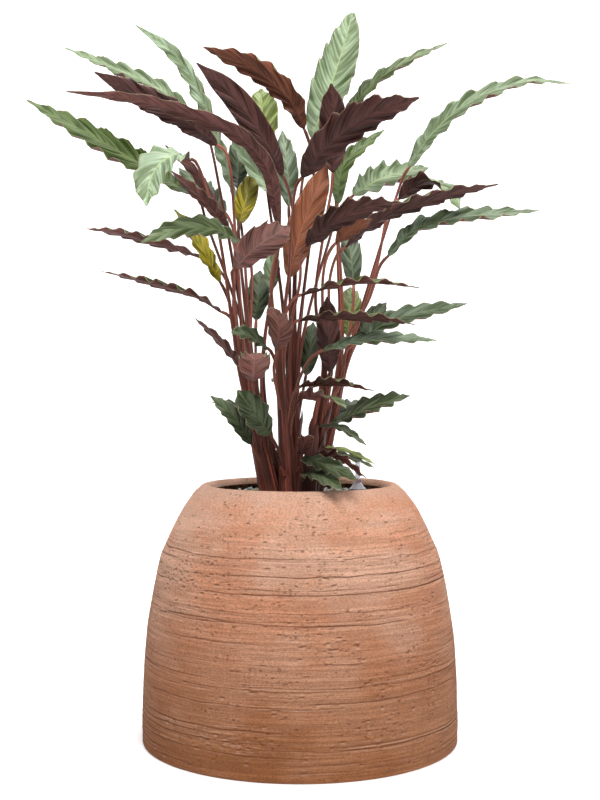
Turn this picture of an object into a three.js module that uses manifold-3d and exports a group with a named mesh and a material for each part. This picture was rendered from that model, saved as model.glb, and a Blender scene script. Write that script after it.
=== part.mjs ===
// A velvety prayer plant with long waved leaves, in a fibre-clay planter filled with granules
// Millimetres, +Z up, origin at the centre of the planter's flat underside, front towards -Y
import * as THREE from 'three';
import { mergeVertices } from 'three/addons/utils/BufferGeometryUtils.js';
import Module from 'manifold-3d';

const wasm = await Module();
wasm.setup();

// Clearance between pieces that rest on or in each other
const gap = 0.3;

// Planter: its belly from foot to shoulder, a rounded lip and an even wall
const wall = 14;
const floorThickness = 18;
const footRadius = 204;
const footEase = 3;
const potBelly = [[204, 12], [204, 38], [199, 136], [183.5, 227], [171.7, 260], [153, 298], [137, 321]];
const lipRadius = 8;
const lipCentre = [123, 323];
const lipFrom = 0.2 * Math.PI;
const lipTo = Math.PI;
const potSides = 30;
const bellySteps = 7;
const lipSteps = 4;

// Granules: level of the bed, the height of its heaps and how finely its top is divided
const bedLevel = 313;
const bedEase = 1;
const heapHeight = 2;
const heapTurns = [0.31, 0.27];
const heapDrift = [0.11, 0.13];
const heapWander = 1.3;
const bedRings = 4;
const bedMargin = 3;
const levelMargin = 8;
const holeReach = 20;

// Water-level gauge: a shaft with a cone collar, a clear tube and a float
const gaugeAt = [76, 20];
const shaftFoot = 166;
const shaftRadius = 8;
const chamberRadius = 5.8;
const drainRadius = 2;
const collarRadius = 11;
const collarTop = 335;
const collarEdge = 1.5;
const collarNeck = 4.8;
const tubeSeat = 322;
const tubeRadius = 3.4;
const tubeBore = 2.3;
const tubeTop = 371;
const tubeCap = 1.4;
const shoulder = 2.3;
const domeShare = 0.7;
const floatRadius = 5.2;
const floatLength = 34;
const floatCone = 3;
const rodRadius = 1.3;
const rodTop = 337;
const rodPoint = 0.8;
const gaugeSides = 10;
const gaugeFloor = 2;
const seatDepth = 3;
const chamberNeck = 6;

// Shoots: the round foot that stands in the bed, and the stalks that rise from it
const footCollarRadius = 10.5;
const footCollarDepth = 30;
const footCollarRise = 5;
const footCollarSides = 8;
const sheathHeight = 118;
const sheathFootRadius = 9.8;
const sheathTopRadius = 6.2;
const sheathSteps = 1;
const branchShare = 0.3;
const branchRing = 5;
const riseShare = 0.42;
const arriveShare = 0.22;
const neckLength = 14;
const stalkFootRadius = 3.6;
const stalkTipRadius = 1.9;
const stalkTaper = 1.1;
const stalkSides = 4;
const stalkSteps = 4;
const lowStalkSteps = 3;
const fusedDepth = 3;
const fusedShare = 0.75;

// Blades: thickness, the narrow ends, how far the edges wave, lift and lean towards the tip
const bladeThickness = 1.1;
const baseHalfWidth = 1.8;
const tipHalfWidth = 0.7;
const waveShare = 0.24;
const swellEarly = 0.78;
const swellFull = 0.66;
const foldShare = 0.16;
const leanShare = 0.55;

// Where each shoot stands on the bed, and the direction in which its stalks leave it
const shoots = {
  left_front: { at: [-37, -16], lean: [-0.2, -0.04, 1] },
  left_back: { at: [-32, 20], lean: [-0.17, 0.08, 1] },
  centre_front: { at: [-13, -24], lean: [-0.07, -0.05, 1] },
  centre_back: { at: [-8, 16], lean: [-0.02, 0.08, 1] },
  right_front: { at: [9, -12], lean: [0.16, -0.04, 1] },
  right_back: { at: [15, 20], lean: [0.24, 0.08, 1] },
  low_front: { at: [6, -50], lean: [0.1, -0.1, 1] },
};

// The leaves: width, waves along an edge, where the green face looks (and looks at the tip, if
// the blade turns over), the midrib from base to tip, and a point or two that the stalk passes.
// A small low leaf is fused with its shoot, and every other blade is a piece of its own.
const leaves = [
  { name: 'left_long', shoot: 'left_back', width: 36, waves: 8, face: [0.1, -0.75, 0.65],
    midrib: [[-143, 10, 708], [-198, 22, 742], [-253, 35, 775], [-366, 60, 840]],
    stalk: [[-123, 12, 674]] },
  { name: 'left_slim', shoot: 'left_back', width: 26, waves: 7, face: [0, -0.6, 0.8],
    midrib: [[-133, 40, 800], [-177, 50, 845], [-224, 62, 873], [-320, 90, 917]],
    stalk: [[-105, 34, 712]] },
  { name: 'left_dark', shoot: 'left_front', width: 32, waves: 5, face: [0, 0.8, 0.6],
    midrib: [[-107, -12, 768], [-150, -14, 800], [-207, -18, 830], [-262, -24, 858]],
    stalk: [[-84, -14, 664]] },
  { name: 'left_arch', shoot: 'centre_front', width: 20, waves: 8, face: [0, 0.7, 0.7],
    midrib: [[-27, -48, 660], [-36, -62, 716], [-54, -70, 748], [-80, -76, 770], [-110, -80, 783],
      [-149, -85, 796], [-206, -90, 810], [-286, -92, 819]],
    stalk: [[-36, -44, 596]] },
  { name: 'top_left_dark', shoot: 'centre_back', width: 32, waves: 5, face: [-0.3, 0.8, 0.5],
    midrib: [[-23, 10, 733], [-49, -6, 780], [-84, -20, 827], [-131, -36, 867]] },
  { name: 'top_left_pale', shoot: 'left_back', width: 24, waves: 9, face: [-0.85, -0.45, 0.3],
    midrib: [[-86, 60, 708], [-106, 78, 775], [-136, 96, 855], [-173, 118, 915], [-230, 145, 962]] },
  { name: 'left_drooping', shoot: 'left_front', width: 44, waves: 5, face: [-0.2, -0.7, 0.7],
    faceAtTip: [-0.25, -0.95, 0.1],
    midrib: [[-140, -44, 744], [-155, -70, 745], [-171, -90, 732], [-182, -104, 709], [-186, -116, 676]],
    stalk: [[-107, -38, 670]] },
  { name: 'left_upright', shoot: 'left_front', width: 13, waves: 5, face: [-0.6, 0.5, 0.3],
    midrib: [[-96, -22, 669], [-119, -20, 708], [-139, -20, 737], [-172, -24, 765]] },
  { name: 'left_towards_front', shoot: 'left_front', width: 17, waves: 5, face: [0, 0.3, 1],
    midrib: [[-92, -40, 660], [-116, -95, 684], [-150, -170, 710]] },
  { name: 'left_towards_back', shoot: 'left_back', width: 30, waves: 5, face: [0, -0.3, 1],
    midrib: [[-100, 40, 688], [-131, 85, 724], [-171, 155, 764]] },
  { name: 'left_level', shoot: 'left_front', width: 29, waves: 6, face: [0.1, -0.8, 0.55],
    midrib: [[-76, -52, 640], [-108, -88, 652], [-148, -112, 648], [-190, -136, 630]] },
  { name: 'front_left', shoot: 'left_front', width: 38, waves: 5, face: [-0.1, 1, 0.2],
    midrib: [[-80, -60, 606], [-56, -110, 625], [-31, -160, 636], [-12, -205, 641]],
    stalk: [[-84, -44, 583]] },
  { name: 'left_yellow', shoot: 'left_front', width: 22, waves: 5, face: [0.6, -0.7, 0.3],
    midrib: [[-103, -12, 592], [-119, -14, 622], [-138, -16, 655], [-161, -20, 684]],
    stalk: [[-86, -12, 545]] },
  { name: 'left_slender', shoot: 'left_back', width: 24, waves: 7, face: [0, 0.35, 0.95],
    midrib: [[-128, 26, 626], [-172, 32, 640], [-237, 40, 658], [-285, 50, 667]] },
  { name: 'left_low_long', shoot: 'left_front', width: 28, waves: 7, face: [0, 0.05, 1],
    midrib: [[-101, -24, 553], [-130, -32, 570], [-173, -46, 583], [-247, -70, 601]],
    stalk: [[-77, -20, 492]] },
  { name: 'left_low_short', shoot: 'left_front', width: 15, waves: 4, face: [0.2, 0.3, 0.9],
    midrib: [[-76, -34, 482], [-90, -56, 502], [-107, -76, 521], [-128, -100, 541]] },
  { name: 'left_low_dark', shoot: 'centre_front', width: 24, waves: 4, face: [0.1, -0.8, 0.6],
    midrib: [[-41, -46, 506], [-62, -74, 520], [-84, -100, 524]] },
  { name: 'front_low_broad', shoot: 'left_front', width: 36, waves: 5, face: [0, 0.3, 1],
    midrib: [[-59, -46, 464], [-55, -120, 486], [-52, -205, 497]] },
  { name: 'front_folded', shoot: 'centre_front', width: 30, waves: 5, face: [0.3, 0.4, 0.9],
    midrib: [[-28, -62, 504], [-25, -112, 533], [-32, -172, 551]],
    stalk: [[-33, -50, 483]] },
  { name: 'front_low_dark', shoot: 'centre_front', width: 34, waves: 4, face: [0.1, -0.9, 0.5],
    midrib: [[-38, -52, 396], [-57, -66, 425], [-78, -66, 453]] },
  { name: 'low_left_dark', shoot: 'left_front', width: 20, waves: 5, face: [0.2, -0.9, 0.4],
    midrib: [[-62, -40, 385], [-82, -58, 418], [-111, -76, 446]] },
  { name: 'back_left_high', shoot: 'left_back', width: 30, waves: 4, face: [0, -0.7, 0.7],
    midrib: [[-84, 72, 724], [-84, 108, 768], [-84, 160, 808]] },
  { name: 'back_high_pale', shoot: 'centre_back', width: 42, waves: 4, face: [-0.1, -0.9, 0.4],
    midrib: [[-50, 90, 779], [-52, 130, 835], [-56, 175, 880]] },
  { name: 'back_mid_olive', shoot: 'left_back', width: 28, waves: 4, face: [0, -0.7, 0.7],
    midrib: [[-58, 36, 545], [-56, 80, 584], [-56, 135, 618]] },
  { name: 'top_brown', shoot: 'centre_back', width: 34, waves: 6, face: [0.2, 0.6, 0.75],
    midrib: [[5, 16, 794], [-14, 2, 829], [-59, -14, 864], [-122, -40, 886]] },
  { name: 'top_pale', shoot: 'centre_back', width: 50, waves: 6, face: [0, -0.85, 0.5],
    midrib: [[16, 42, 786], [35, 70, 843], [57, 110, 914], [74, 150, 981]] },
  { name: 'top_front', shoot: 'centre_front', width: 43, waves: 6, face: [0, 0.7, 0.7],
    midrib: [[3, -60, 719], [30, -90, 749], [77, -130, 780], [138, -180, 793]],
    stalk: [[-14, -48, 600]] },
  { name: 'top_upright', shoot: 'right_front', width: 34, waves: 4, face: [0, 0.9, 0.4],
    midrib: [[42, -15, 732], [43, -30, 772], [39, -60, 836]],
    stalk: [[20, -16, 568], [29, -16, 645]] },
  { name: 'centre_copper', shoot: 'centre_front', width: 38, waves: 5, face: [0.2, 0.9, 0.3],
    midrib: [[-14, -8, 598], [-2, -8, 648], [17, -6, 700], [36, 0, 748]] },
  { name: 'back_centre_high', shoot: 'centre_back', width: 26, waves: 4, face: [0.1, -0.8, 0.6],
    midrib: [[-15, 45, 697], [-17, 85, 752], [-25, 145, 815]] },
  { name: 'front_right', shoot: 'centre_front', width: 36, waves: 6, face: [0, 0.5, 0.85],
    midrib: [[9, -65, 633], [36, -100, 655], [77, -140, 671], [116, -182, 672]],
    stalk: [[0, -50, 591]] },
  { name: 'right_copper', shoot: 'right_front', width: 20, waves: 3, face: [0, 0.6, 0.8],
    midrib: [[46, -34, 640], [64, -44, 655], [90, -54, 667]] },
  { name: 'right_dark_long', shoot: 'right_front', width: 30, waves: 7, face: [0, 0.4, 0.9],
    midrib: [[59, -8, 637], [83, -8, 658], [120, -10, 680], [190, -14, 702], [254, -20, 716]],
    stalk: [[38, -8, 592]] },
  { name: 'right_curled', shoot: 'right_back', width: 32, waves: 4, face: [-0.1, 0.75, 0.6],
    faceAtTip: [0.35, -0.95, 0.3],
    midrib: [[131, 36, 705], [149, 30, 719], [170, 22, 724], [192, 14, 713], [208, 8, 688]],
    stalk: [[101, 32, 614]] },
  { name: 'right_long', shoot: 'right_back', width: 28, waves: 8, face: [0, -0.6, 0.8],
    midrib: [[147, 60, 751], [178, 70, 797], [230, 80, 842], [303, 88, 870], [369, 96, 870]],
    stalk: [[96, 52, 606], [118, 56, 676]] },
  { name: 'right_middle', shoot: 'right_front', width: 30, waves: 7, face: [-0.2, -0.6, 0.8],
    midrib: [[115, 6, 627], [142, 8, 656], [170, 12, 670], [221, 20, 680], [316, 34, 689]],
    stalk: [[90, 4, 571]] },
  { name: 'back_right_slim', shoot: 'right_back', width: 23, waves: 6, face: [0, -0.5, 0.85],
    midrib: [[61, 122, 812], [76, 128, 846], [102, 132, 878], [152, 142, 912], [211, 160, 942]] },
  { name: 'back_right_high', shoot: 'centre_back', width: 22, waves: 5, face: [0, -0.6, 0.8],
    midrib: [[50, 46, 700], [56, 66, 748], [80, 90, 780], [117, 124, 812]] },
  { name: 'right_pale', shoot: 'right_back', width: 44, waves: 6, face: [0, -0.7, 0.7],
    midrib: [[72, 70, 714], [117, 104, 744], [181, 150, 764]] },
  { name: 'back_right_middle', shoot: 'right_back', width: 26, waves: 4, face: [0, -0.8, 0.6],
    midrib: [[72, 62, 592], [70, 96, 636], [68, 142, 678]] },
  { name: 'front_level', shoot: 'centre_front', width: 30, waves: 6, face: [0, 0.05, 1],
    midrib: [[2, -52, 573], [43, -67, 582], [87, -82, 586], [147, -102, 578]] },
  { name: 'front_level_low', shoot: 'centre_front', width: 26, waves: 6, face: [0, 0.3, 1],
    midrib: [[1, -56, 541], [49, -82, 543], [97, -107, 540], [138, -132, 532]] },
  { name: 'centre_dark', shoot: 'right_front', width: 28, waves: 4, face: [0, 0.9, 0.3],
    midrib: [[38, -32, 476], [36, -42, 524], [34, -58, 570]] },
  { name: 'back_right_bright', shoot: 'right_back', width: 30, waves: 4, face: [0, -0.8, 0.6],
    midrib: [[64, 50, 524], [68, 92, 562], [71, 152, 596]] },
  { name: 'right_low', shoot: 'right_front', width: 26, waves: 6, face: [0, -0.7, 0.7],
    midrib: [[72, -16, 512], [121, -22, 543], [213, -28, 563]],
    stalk: [[54, -14, 467]] },
  { name: 'right_low_front', shoot: 'centre_front', width: 22, waves: 6, face: [0, -0.6, 0.8],
    midrib: [[29, -64, 503], [74, -80, 515], [122, -94, 516], [166, -107, 514]] },
  { name: 'left_olive', shoot: 'left_back', fused: true, width: 26, waves: 3, face: [0.2, -0.8, 0.5],
    midrib: [[-80, 36, 672], [-72, 48, 706], [-62, 66, 744]] },
  { name: 'left_inner', shoot: 'left_back', fused: true, width: 24, waves: 4, face: [0.2, -0.8, 0.5],
    midrib: [[-36, 24, 709], [-62, 30, 747], [-93, 36, 791]] },
  { name: 'centre_pale', shoot: 'centre_back', fused: true, width: 20, waves: 3, face: [0.2, -0.8, 0.5],
    midrib: [[-38, 34, 586], [-38, 50, 612], [-36, 72, 636]] },
  { name: 'centre_green', shoot: 'centre_back', fused: true, width: 24, waves: 3, face: [0.1, -0.9, 0.4],
    midrib: [[8, 40, 472], [14, 62, 512], [18, 92, 544]] },
  { name: 'front_low_right', shoot: 'centre_front', width: 24, waves: 5, face: [0, 0.4, 0.9],
    midrib: [[2, -58, 458], [43, -96, 462], [88, -142, 453]] },
  { name: 'right_lowest', shoot: 'right_front', width: 32, waves: 5, face: [0, -0.6, 0.8],
    midrib: [[41, -24, 410], [88, -46, 431], [137, -70, 446]] },
  { name: 'back_right_low', shoot: 'right_back', fused: true, width: 20, waves: 3, face: [0, -0.4, 0.9],
    midrib: [[44, 52, 413], [64, 80, 430], [88, 122, 436]] },
  { name: 'right_hidden', shoot: 'right_back', fused: true, width: 24, waves: 4, face: [0, -0.7, 0.7],
    midrib: [[76, 36, 518], [96, 64, 548], [118, 92, 571]] },
  { name: 'back_low', shoot: 'centre_back', fused: true, width: 22, waves: 4, face: [0, -0.3, 1],
    midrib: [[-16, 56, 440], [-24, 96, 462], [-36, 160, 464]] },
  { name: 'back_left_low', shoot: 'left_back', fused: true, width: 20, waves: 3, face: [0, -0.3, 1],
    midrib: [[-62, 52, 410], [-88, 84, 430], [-122, 122, 434]] },
  { name: 'front_lowest_under', shoot: 'centre_front', fused: true, width: 28, waves: 4,
    face: [0, 0.65, 0.75], midrib: [[0, -56, 442], [26, -104, 447], [54, -172, 433]] },
  { name: 'low_wavy', shoot: 'low_front', fused: true, width: 22, waves: 5, face: [0, -0.7, 0.7],
    midrib: [[2, -78, 369], [32, -112, 362], [68, -148, 347]] },
  { name: 'over_rim', shoot: 'low_front', fused: true, width: 23, waves: 4, face: [0, -0.7, 0.7],
    midrib: [[3, -72, 348], [22, -110, 351], [50, -152, 336]] },
  { name: 'low_upright', shoot: 'low_front', fused: true, width: 16, waves: 3, face: [0, 0.6, 0.6],
    midrib: [[2, -66, 372], [6, -92, 390], [11, -138, 400]] },
  { name: 'low_brown', shoot: 'low_front', fused: true, width: 24, waves: 4, face: [0, 0.6, 0.8],
    midrib: [[22, -60, 373], [50, -84, 368], [80, -112, 347]] },
  { name: 'low_narrow', shoot: 'low_front', fused: true, width: 14, waves: 4, face: [0, -0.3, 1],
    midrib: [[22, -52, 408], [50, -74, 406], [81, -98, 386]] },
  { name: 'low_spear', shoot: 'right_front', fused: true, width: 10, waves: 3, face: [0, -0.3, 1],
    midrib: [[32, -20, 380], [62, -34, 374], [94, -54, 360]] },
  { name: 'low_back_spear', shoot: 'right_front', fused: true, width: 14, waves: 3, face: [0, -0.3, 1],
    midrib: [[34, -4, 372], [62, 0, 366], [96, -8, 352]] },
];

// A closed mesh of three.js as a solid, and a solid as a mesh's geometry
function solidOf(geometry) {
  const bare = geometry.index ? geometry.clone() : geometry;
  bare.deleteAttribute('normal');
  bare.deleteAttribute('uv');
  const merged = mergeVertices(bare, 1e-4);
  return new wasm.Manifold(new wasm.Mesh({
    numProp: 3,
    vertProperties: new Float32Array(merged.getAttribute('position').array),
    triVerts: new Uint32Array(merged.index.array),
  }));
}

function geometryOf(solid) {
  const mesh = solid.getMesh();
  const geometry = new THREE.BufferGeometry();
  geometry.setAttribute('position', new THREE.BufferAttribute(new Float32Array(mesh.vertProperties), 3));
  geometry.setIndex(new THREE.BufferAttribute(new Uint32Array(mesh.triVerts), 1));
  geometry.computeVertexNormals();
  return geometry;
}

// The main body of a join, with sealed hollows filled and loose scraps dropped
function largestBody(solid) {
  return solid.decompose().reduce((best, one) => (one.volume() > best.volume() ? one : best));
}

// A turned solid about the upright axis, from radius and height pairs
function turned(profile, sides) {
  const points = profile.map(([r, z]) => new THREE.Vector2(r, z));
  return new THREE.LatheGeometry(points, sides).rotateX(Math.PI / 2);
}

const closed = (profile) => [...profile, profile[0]];
const vector = ([x, y, z]) => new THREE.Vector3(x, y, z);

// The planter's belly as a smooth outline, moved inwards by a given depth
function bellyOutline(inset) {
  const spline = new THREE.SplineCurve(potBelly.map(([r, z]) => new THREE.Vector2(r, z)));
  return Array.from({ length: bellySteps + 1 }, (_, i) => {
    const at = spline.getPoint(i / bellySteps);
    const along = spline.getTangent(i / bellySteps);
    return [at.x - along.y * inset, at.y + along.x * inset];
  });
}

// The rounded lip, from its outer side over the top to its inner side
function lipOutline() {
  return Array.from({ length: lipSteps + 1 }, (_, i) => {
    const turn = THREE.MathUtils.lerp(lipFrom, lipTo, i / lipSteps);
    return [lipCentre[0] + lipRadius * Math.cos(turn), lipCentre[1] + lipRadius * Math.sin(turn)];
  });
}

const innerRadius = lipCentre[0] - lipRadius;
const innerTop = lipCentre[1] - lipRadius;
const innerWall = bellyOutline(wall).filter(([, z]) => z > floorThickness + wall && z < innerTop);

function potGeometry() {
  return turned([
    [0, 0],
    [footRadius - footEase, 0],
    ...bellyOutline(0),
    ...lipOutline(),
    ...[...innerWall].reverse(),
    [footRadius - wall, floorThickness],
    [0, floorThickness],
  ], potSides);
}

// Low heaps and hollows of the granules, level where the gauge's collar rests
function heap(x, y) {
  const away = Math.hypot(x - gaugeAt[0], y - gaugeAt[1]) - collarRadius;
  const fade = THREE.MathUtils.smoothstep(away, levelMargin, 3 * levelMargin);
  const wander = heapWander * Math.cos(heapDrift[1] * y);
  const waves = Math.sin(heapTurns[0] * x + wander) * Math.cos(heapTurns[1] * y + heapDrift[0] * x);
  return heapHeight * fade * waves;
}

// The bed fills the planter up to its level, with a plain hole for each shoot and for the gauge
function bedSolid() {
  const inside = innerWall.map(([r, z]) => [r - gap, z]).filter(([, z]) => z < bedLevel - bedMargin);
  const [lastRadius, lastHeight] = inside.at(-1);
  const climb = (bedLevel - bedEase - lastHeight) / (lipCentre[1] - lastHeight);
  const edge = THREE.MathUtils.lerp(lastRadius, innerRadius - gap, climb);
  const rings = Array.from({ length: bedRings }, (_, i) => {
    return [((edge - bedMargin) * (bedRings - i)) / bedRings, bedLevel];
  });
  const body = turned([
    [0, floorThickness + gap],
    [footRadius - wall - bedEase, floorThickness + gap],
    ...inside,
    [edge, bedLevel - bedEase],
    ...rings,
    [0, bedLevel],
  ], potSides);
  const at = body.getAttribute('position');
  for (let i = 0; i < at.count; i += 1) {
    const [x, y, z] = [at.getX(i), at.getY(i), at.getZ(i)];
    if (z > bedLevel - bedEase / 2) at.setZ(i, z + heap(x, y));
  }
  let bed = solidOf(body);
  for (const { at: foot } of Object.values(shoots)) {
    bed = bed.subtract(solidOf(footCollar(foot, gap)));
  }
  const shaftHole = turned([
    [0, shaftFoot - gap],
    [shaftRadius + gap, shaftFoot - gap],
    [shaftRadius + gap, bedLevel + holeReach],
    [0, bedLevel + holeReach],
  ], gaugeSides);
  return bed.subtract(solidOf(shaftHole.translate(...gaugeAt, 0)));
}

// The round foot of a shoot, or with a margin the plain hole that it stands in
function footCollar([x, y], margin) {
  const low = bedLevel - footCollarDepth - margin;
  const high = bedLevel + (margin > 0 ? holeReach : footCollarRise);
  const radius = footCollarRadius + margin / Math.cos(Math.PI / footCollarSides);
  return new THREE.CylinderGeometry(radius, radius, high - low, footCollarSides)
    .rotateX(Math.PI / 2)
    .translate(x, y, (low + high) / 2);
}

// A smooth curve through a leaf's midrib points
function midribOf(leaf) {
  return new THREE.CatmullRomCurve3(leaf.midrib.map(vector), false, 'catmullrom', 0.5);
}

// A stalk's way: out of its place in the shoot's foot, past its points, and in line with the midrib
function stalkCurve(leaf) {
  const shoot = shoots[leaf.shoot];
  const base = vector(leaf.midrib[0]);
  const arrives = midribOf(leaf).getTangent(0);
  const end = base.clone().addScaledVector(arrives, leaf.fused ? fusedDepth : -gap);
  const rises = vector(shoot.lean).normalize();
  const climb = Math.min((base.z - bedLevel) * branchShare, sheathHeight - 2 * branchRing);
  const middle = new THREE.Vector3(...shoot.at, bedLevel).addScaledVector(rises, climb);
  const firstStop = leaf.stalk ? vector(leaf.stalk[0]) : base;
  const outward = firstStop.clone().sub(middle).setZ(0).setLength(branchRing);
  const start = middle.clone().add(outward);
  const reach = end.distanceTo(start);
  if (!leaf.stalk) {
    return new THREE.CubicBezierCurve3(
      start,
      start.clone().addScaledVector(rises, reach * riseShare),
      end.clone().addScaledVector(arrives, -reach * arriveShare),
      end,
    );
  }
  const stops = leaf.stalk.map(vector);
  return new THREE.CatmullRomCurve3([
    start,
    start.clone().addScaledVector(rises, start.distanceTo(stops[0]) * riseShare),
    ...stops,
    end.clone().addScaledVector(arrives, -neckLength),
    end,
  ], false, 'centripetal');
}

// A tapering round body along a curve, with flat ends
function taperedTube(curve, firstRadius, lastRadius, steps, sides = stalkSides) {
  const frames = curve.computeFrenetFrames(steps, false);
  const points = [];
  for (let i = 0; i <= steps; i += 1) {
    const centre = curve.getPointAt(i / steps);
    const radius = THREE.MathUtils.lerp(firstRadius, lastRadius, (i / steps) ** stalkTaper);
    for (let j = 0; j < sides; j += 1) {
      const turn = (2 * Math.PI * j) / sides;
      points.push(centre.clone()
        .addScaledVector(frames.normals[i], radius * Math.cos(turn))
        .addScaledVector(frames.binormals[i], radius * Math.sin(turn)));
    }
  }
  const index = [];
  for (let i = 0; i < steps; i += 1) {
    for (let j = 0; j < sides; j += 1) {
      const k = (j + 1) % sides;
      const [a, b] = [i * sides + j, i * sides + k];
      index.push(a, b, b + sides, a, b + sides, a + sides);
    }
  }
  const last = steps * sides;
  for (let j = 1; j < sides - 1; j += 1) {
    index.push(0, j + 1, j, last, last + j, last + j + 1);
  }
  return new THREE.BufferGeometry().setFromPoints(points).setIndex(index);
}

// How far a lance-shaped blade swells beyond its narrow ends at a share of its length
function swellAt(leaf, along) {
  return (leaf.width / 2) * Math.max(Math.sin(Math.PI * along ** swellEarly), 0) ** swellFull;
}

// A blade: rows across the midrib at every crest and trough of its edges, split alike on both faces
function bladeGeometry(leaf) {
  const midrib = midribOf(leaf);
  const rows = 2 * leaf.waves + 2;
  const green = vector(leaf.face);
  const greenAtTip = vector(leaf.faceAtTip ?? leaf.face);
  const upper = [];
  const lower = [];
  for (let i = 0; i < rows; i += 1) {
    const along = i / (rows - 1);
    const centre = midrib.getPointAt(along);
    const forward = midrib.getTangentAt(along);
    const normal = green.clone().lerp(greenAtTip, along);
    normal.addScaledVector(forward, -normal.dot(forward)).normalize();
    const across = forward.clone().cross(normal);
    const swell = swellAt(leaf, along);
    const half = swell + THREE.MathUtils.lerp(baseHalfWidth, tipHalfWidth, along);
    for (const side of [-1, 0, 1]) {
      const crest = (i % 2 ? 1 : -1) * side;
      const lift = Math.abs(side) * swell * (foldShare + waveShare * crest);
      const point = centre.clone()
        .addScaledVector(across, side * half)
        .addScaledVector(forward, Math.abs(side) * leanShare * swell)
        .addScaledVector(normal, lift + bladeThickness / 2);
      upper.push(point);
      lower.push(point.clone().addScaledVector(normal, -bladeThickness));
    }
  }
  const count = upper.length;
  const index = [];
  const quad = (a, b, c, d) => index.push(a, b, c, a, c, d);
  for (let i = 0; i < rows - 1; i += 1) {
    const [a, b] = [3 * i, 3 * i + 3];
    index.push(a, a + 1, b, a + 1, b + 1, b, a + 1, a + 2, b + 2, a + 1, b + 2, b + 1);
    index.push(count + a, count + b, count + a + 1, count + a + 1, count + b, count + b + 1);
    index.push(count + a + 1, count + b + 2, count + a + 2, count + a + 1, count + b + 1, count + b + 2);
    quad(a + 2, count + a + 2, count + b + 2, b + 2);
    quad(b, count + b, count + a, a);
  }
  for (const column of [0, 1]) {
    const tip = count - 3 + column;
    quad(column, count + column, count + column + 1, column + 1);
    quad(tip + 1, count + tip + 1, count + tip, tip);
  }
  return new THREE.BufferGeometry().setFromPoints([...upper, ...lower]).setIndex(index);
}

// The sheath that wraps the feet of a shoot's stalks, lower where all its leaves are low
function sheathGeometry({ at, lean }, own) {
  const highest = Math.max(...own.map((leaf) => leaf.midrib[0][2]));
  const foot = new THREE.Vector3(...at, bedLevel);
  const height = Math.min(sheathHeight, (highest - bedLevel) / 2);
  const top = foot.clone().addScaledVector(vector(lean).normalize(), height);
  const rise = new THREE.LineCurve3(foot, top);
  return taperedTube(rise, sheathFootRadius, sheathTopRadius, sheathSteps, footCollarSides);
}

// A shoot: its foot, the stalks of all its leaves and its smallest blades, joined in one body
function shootGeometry(name) {
  const own = leaves.filter((leaf) => leaf.shoot === name);
  let body = solidOf(footCollar(shoots[name].at, 0)).add(solidOf(sheathGeometry(shoots[name], own)));
  for (const leaf of own) {
    const slim = leaf.fused ? fusedShare : 1;
    const steps = leaf.fused ? lowStalkSteps : stalkSteps;
    const stalk = taperedTube(stalkCurve(leaf), stalkFootRadius * slim, stalkTipRadius * slim, steps);
    body = body.add(solidOf(stalk));
    if (leaf.fused) body = body.add(solidOf(bladeGeometry(leaf)));
  }
  return geometryOf(largestBody(body));
}

// Water-level gauge
function gaugeShaftGeometry() {
  return turned(closed([
    [drainRadius, shaftFoot],
    [shaftRadius, shaftFoot],
    [shaftRadius, bedLevel + gap],
    [collarRadius, bedLevel + gap],
    [collarRadius, bedLevel + gap + collarEdge],
    [collarNeck, collarTop],
    [tubeRadius + gap, collarTop],
    [tubeRadius + gap, tubeSeat - gap],
    [tubeBore, tubeSeat - gap],
    [tubeBore, tubeSeat - seatDepth],
    [chamberRadius, tubeSeat - seatDepth - chamberNeck],
    [chamberRadius, shaftFoot + gaugeFloor],
    [drainRadius, shaftFoot + gaugeFloor],
  ]), gaugeSides);
}

function gaugeTubeGeometry() {
  return turned([
    [0, tubeTop - tubeCap],
    [tubeBore * domeShare, tubeTop - tubeCap - (1 - domeShare) * shoulder],
    [tubeBore, tubeTop - tubeCap - shoulder],
    [tubeBore, tubeSeat],
    [tubeRadius, tubeSeat],
    [tubeRadius, tubeTop - shoulder],
    [tubeRadius * domeShare, tubeTop - (1 - domeShare) * shoulder],
    [0, tubeTop],
  ], gaugeSides);
}

function gaugeFloatGeometry() {
  const foot = shaftFoot + gaugeFloor + gap;
  return turned([
    [0, foot],
    [floatRadius, foot],
    [floatRadius, foot + floatLength],
    [rodRadius, foot + floatLength + floatCone],
    [rodRadius, rodTop - rodPoint],
    [0, rodTop],
  ], gaugeSides);
}

// The finished parts, each a mesh of its own
function look(color, roughness, more = {}) {
  return new THREE.MeshStandardMaterial({ color, roughness, ...more });
}

const clay = look(0xb98a68, 0.85);
const granules = look(0xc9c4b8, 0.9);
const stalkRed = look(0x6e3c30, 0.7);
const green = look(0x6f8f62, 0.75);
const greyPlastic = look(0x8d8f90, 0.5);
const clearPlastic = look(0xe6efef, 0.1, { transparent: true, opacity: 0.4 });
const redPlastic = look(0xc02822, 0.4);

const group = new THREE.Group();

function put(name, geometry, material) {
  const mesh = new THREE.Mesh(geometry, material);
  mesh.name = name;
  group.add(mesh);
  return mesh;
}

put('pot', potGeometry(), clay);
put('granule_bed', geometryOf(bedSolid()), granules);
for (const [name, geometry, material] of [
  ['gauge_shaft', gaugeShaftGeometry(), greyPlastic],
  ['gauge_tube', gaugeTubeGeometry(), clearPlastic],
  ['gauge_float', gaugeFloatGeometry(), redPlastic],
]) {
  put(name, geometry, material).position.set(...gaugeAt, 0);
}
for (const name of Object.keys(shoots)) put(`shoot_${name}`, shootGeometry(name), stalkRed);
for (const leaf of leaves) {
  if (!leaf.fused) put(`leaf_${leaf.name}`, bladeGeometry(leaf), green);
}

export default group;
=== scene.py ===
"""A velvety prayer plant with long waved leaves, in a fibre-clay planter filled with granules.

The CAD's places are repeated here in its own millimetres, and every mesh is made in metres.
"""
import math
from dataclasses import dataclass, field

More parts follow.
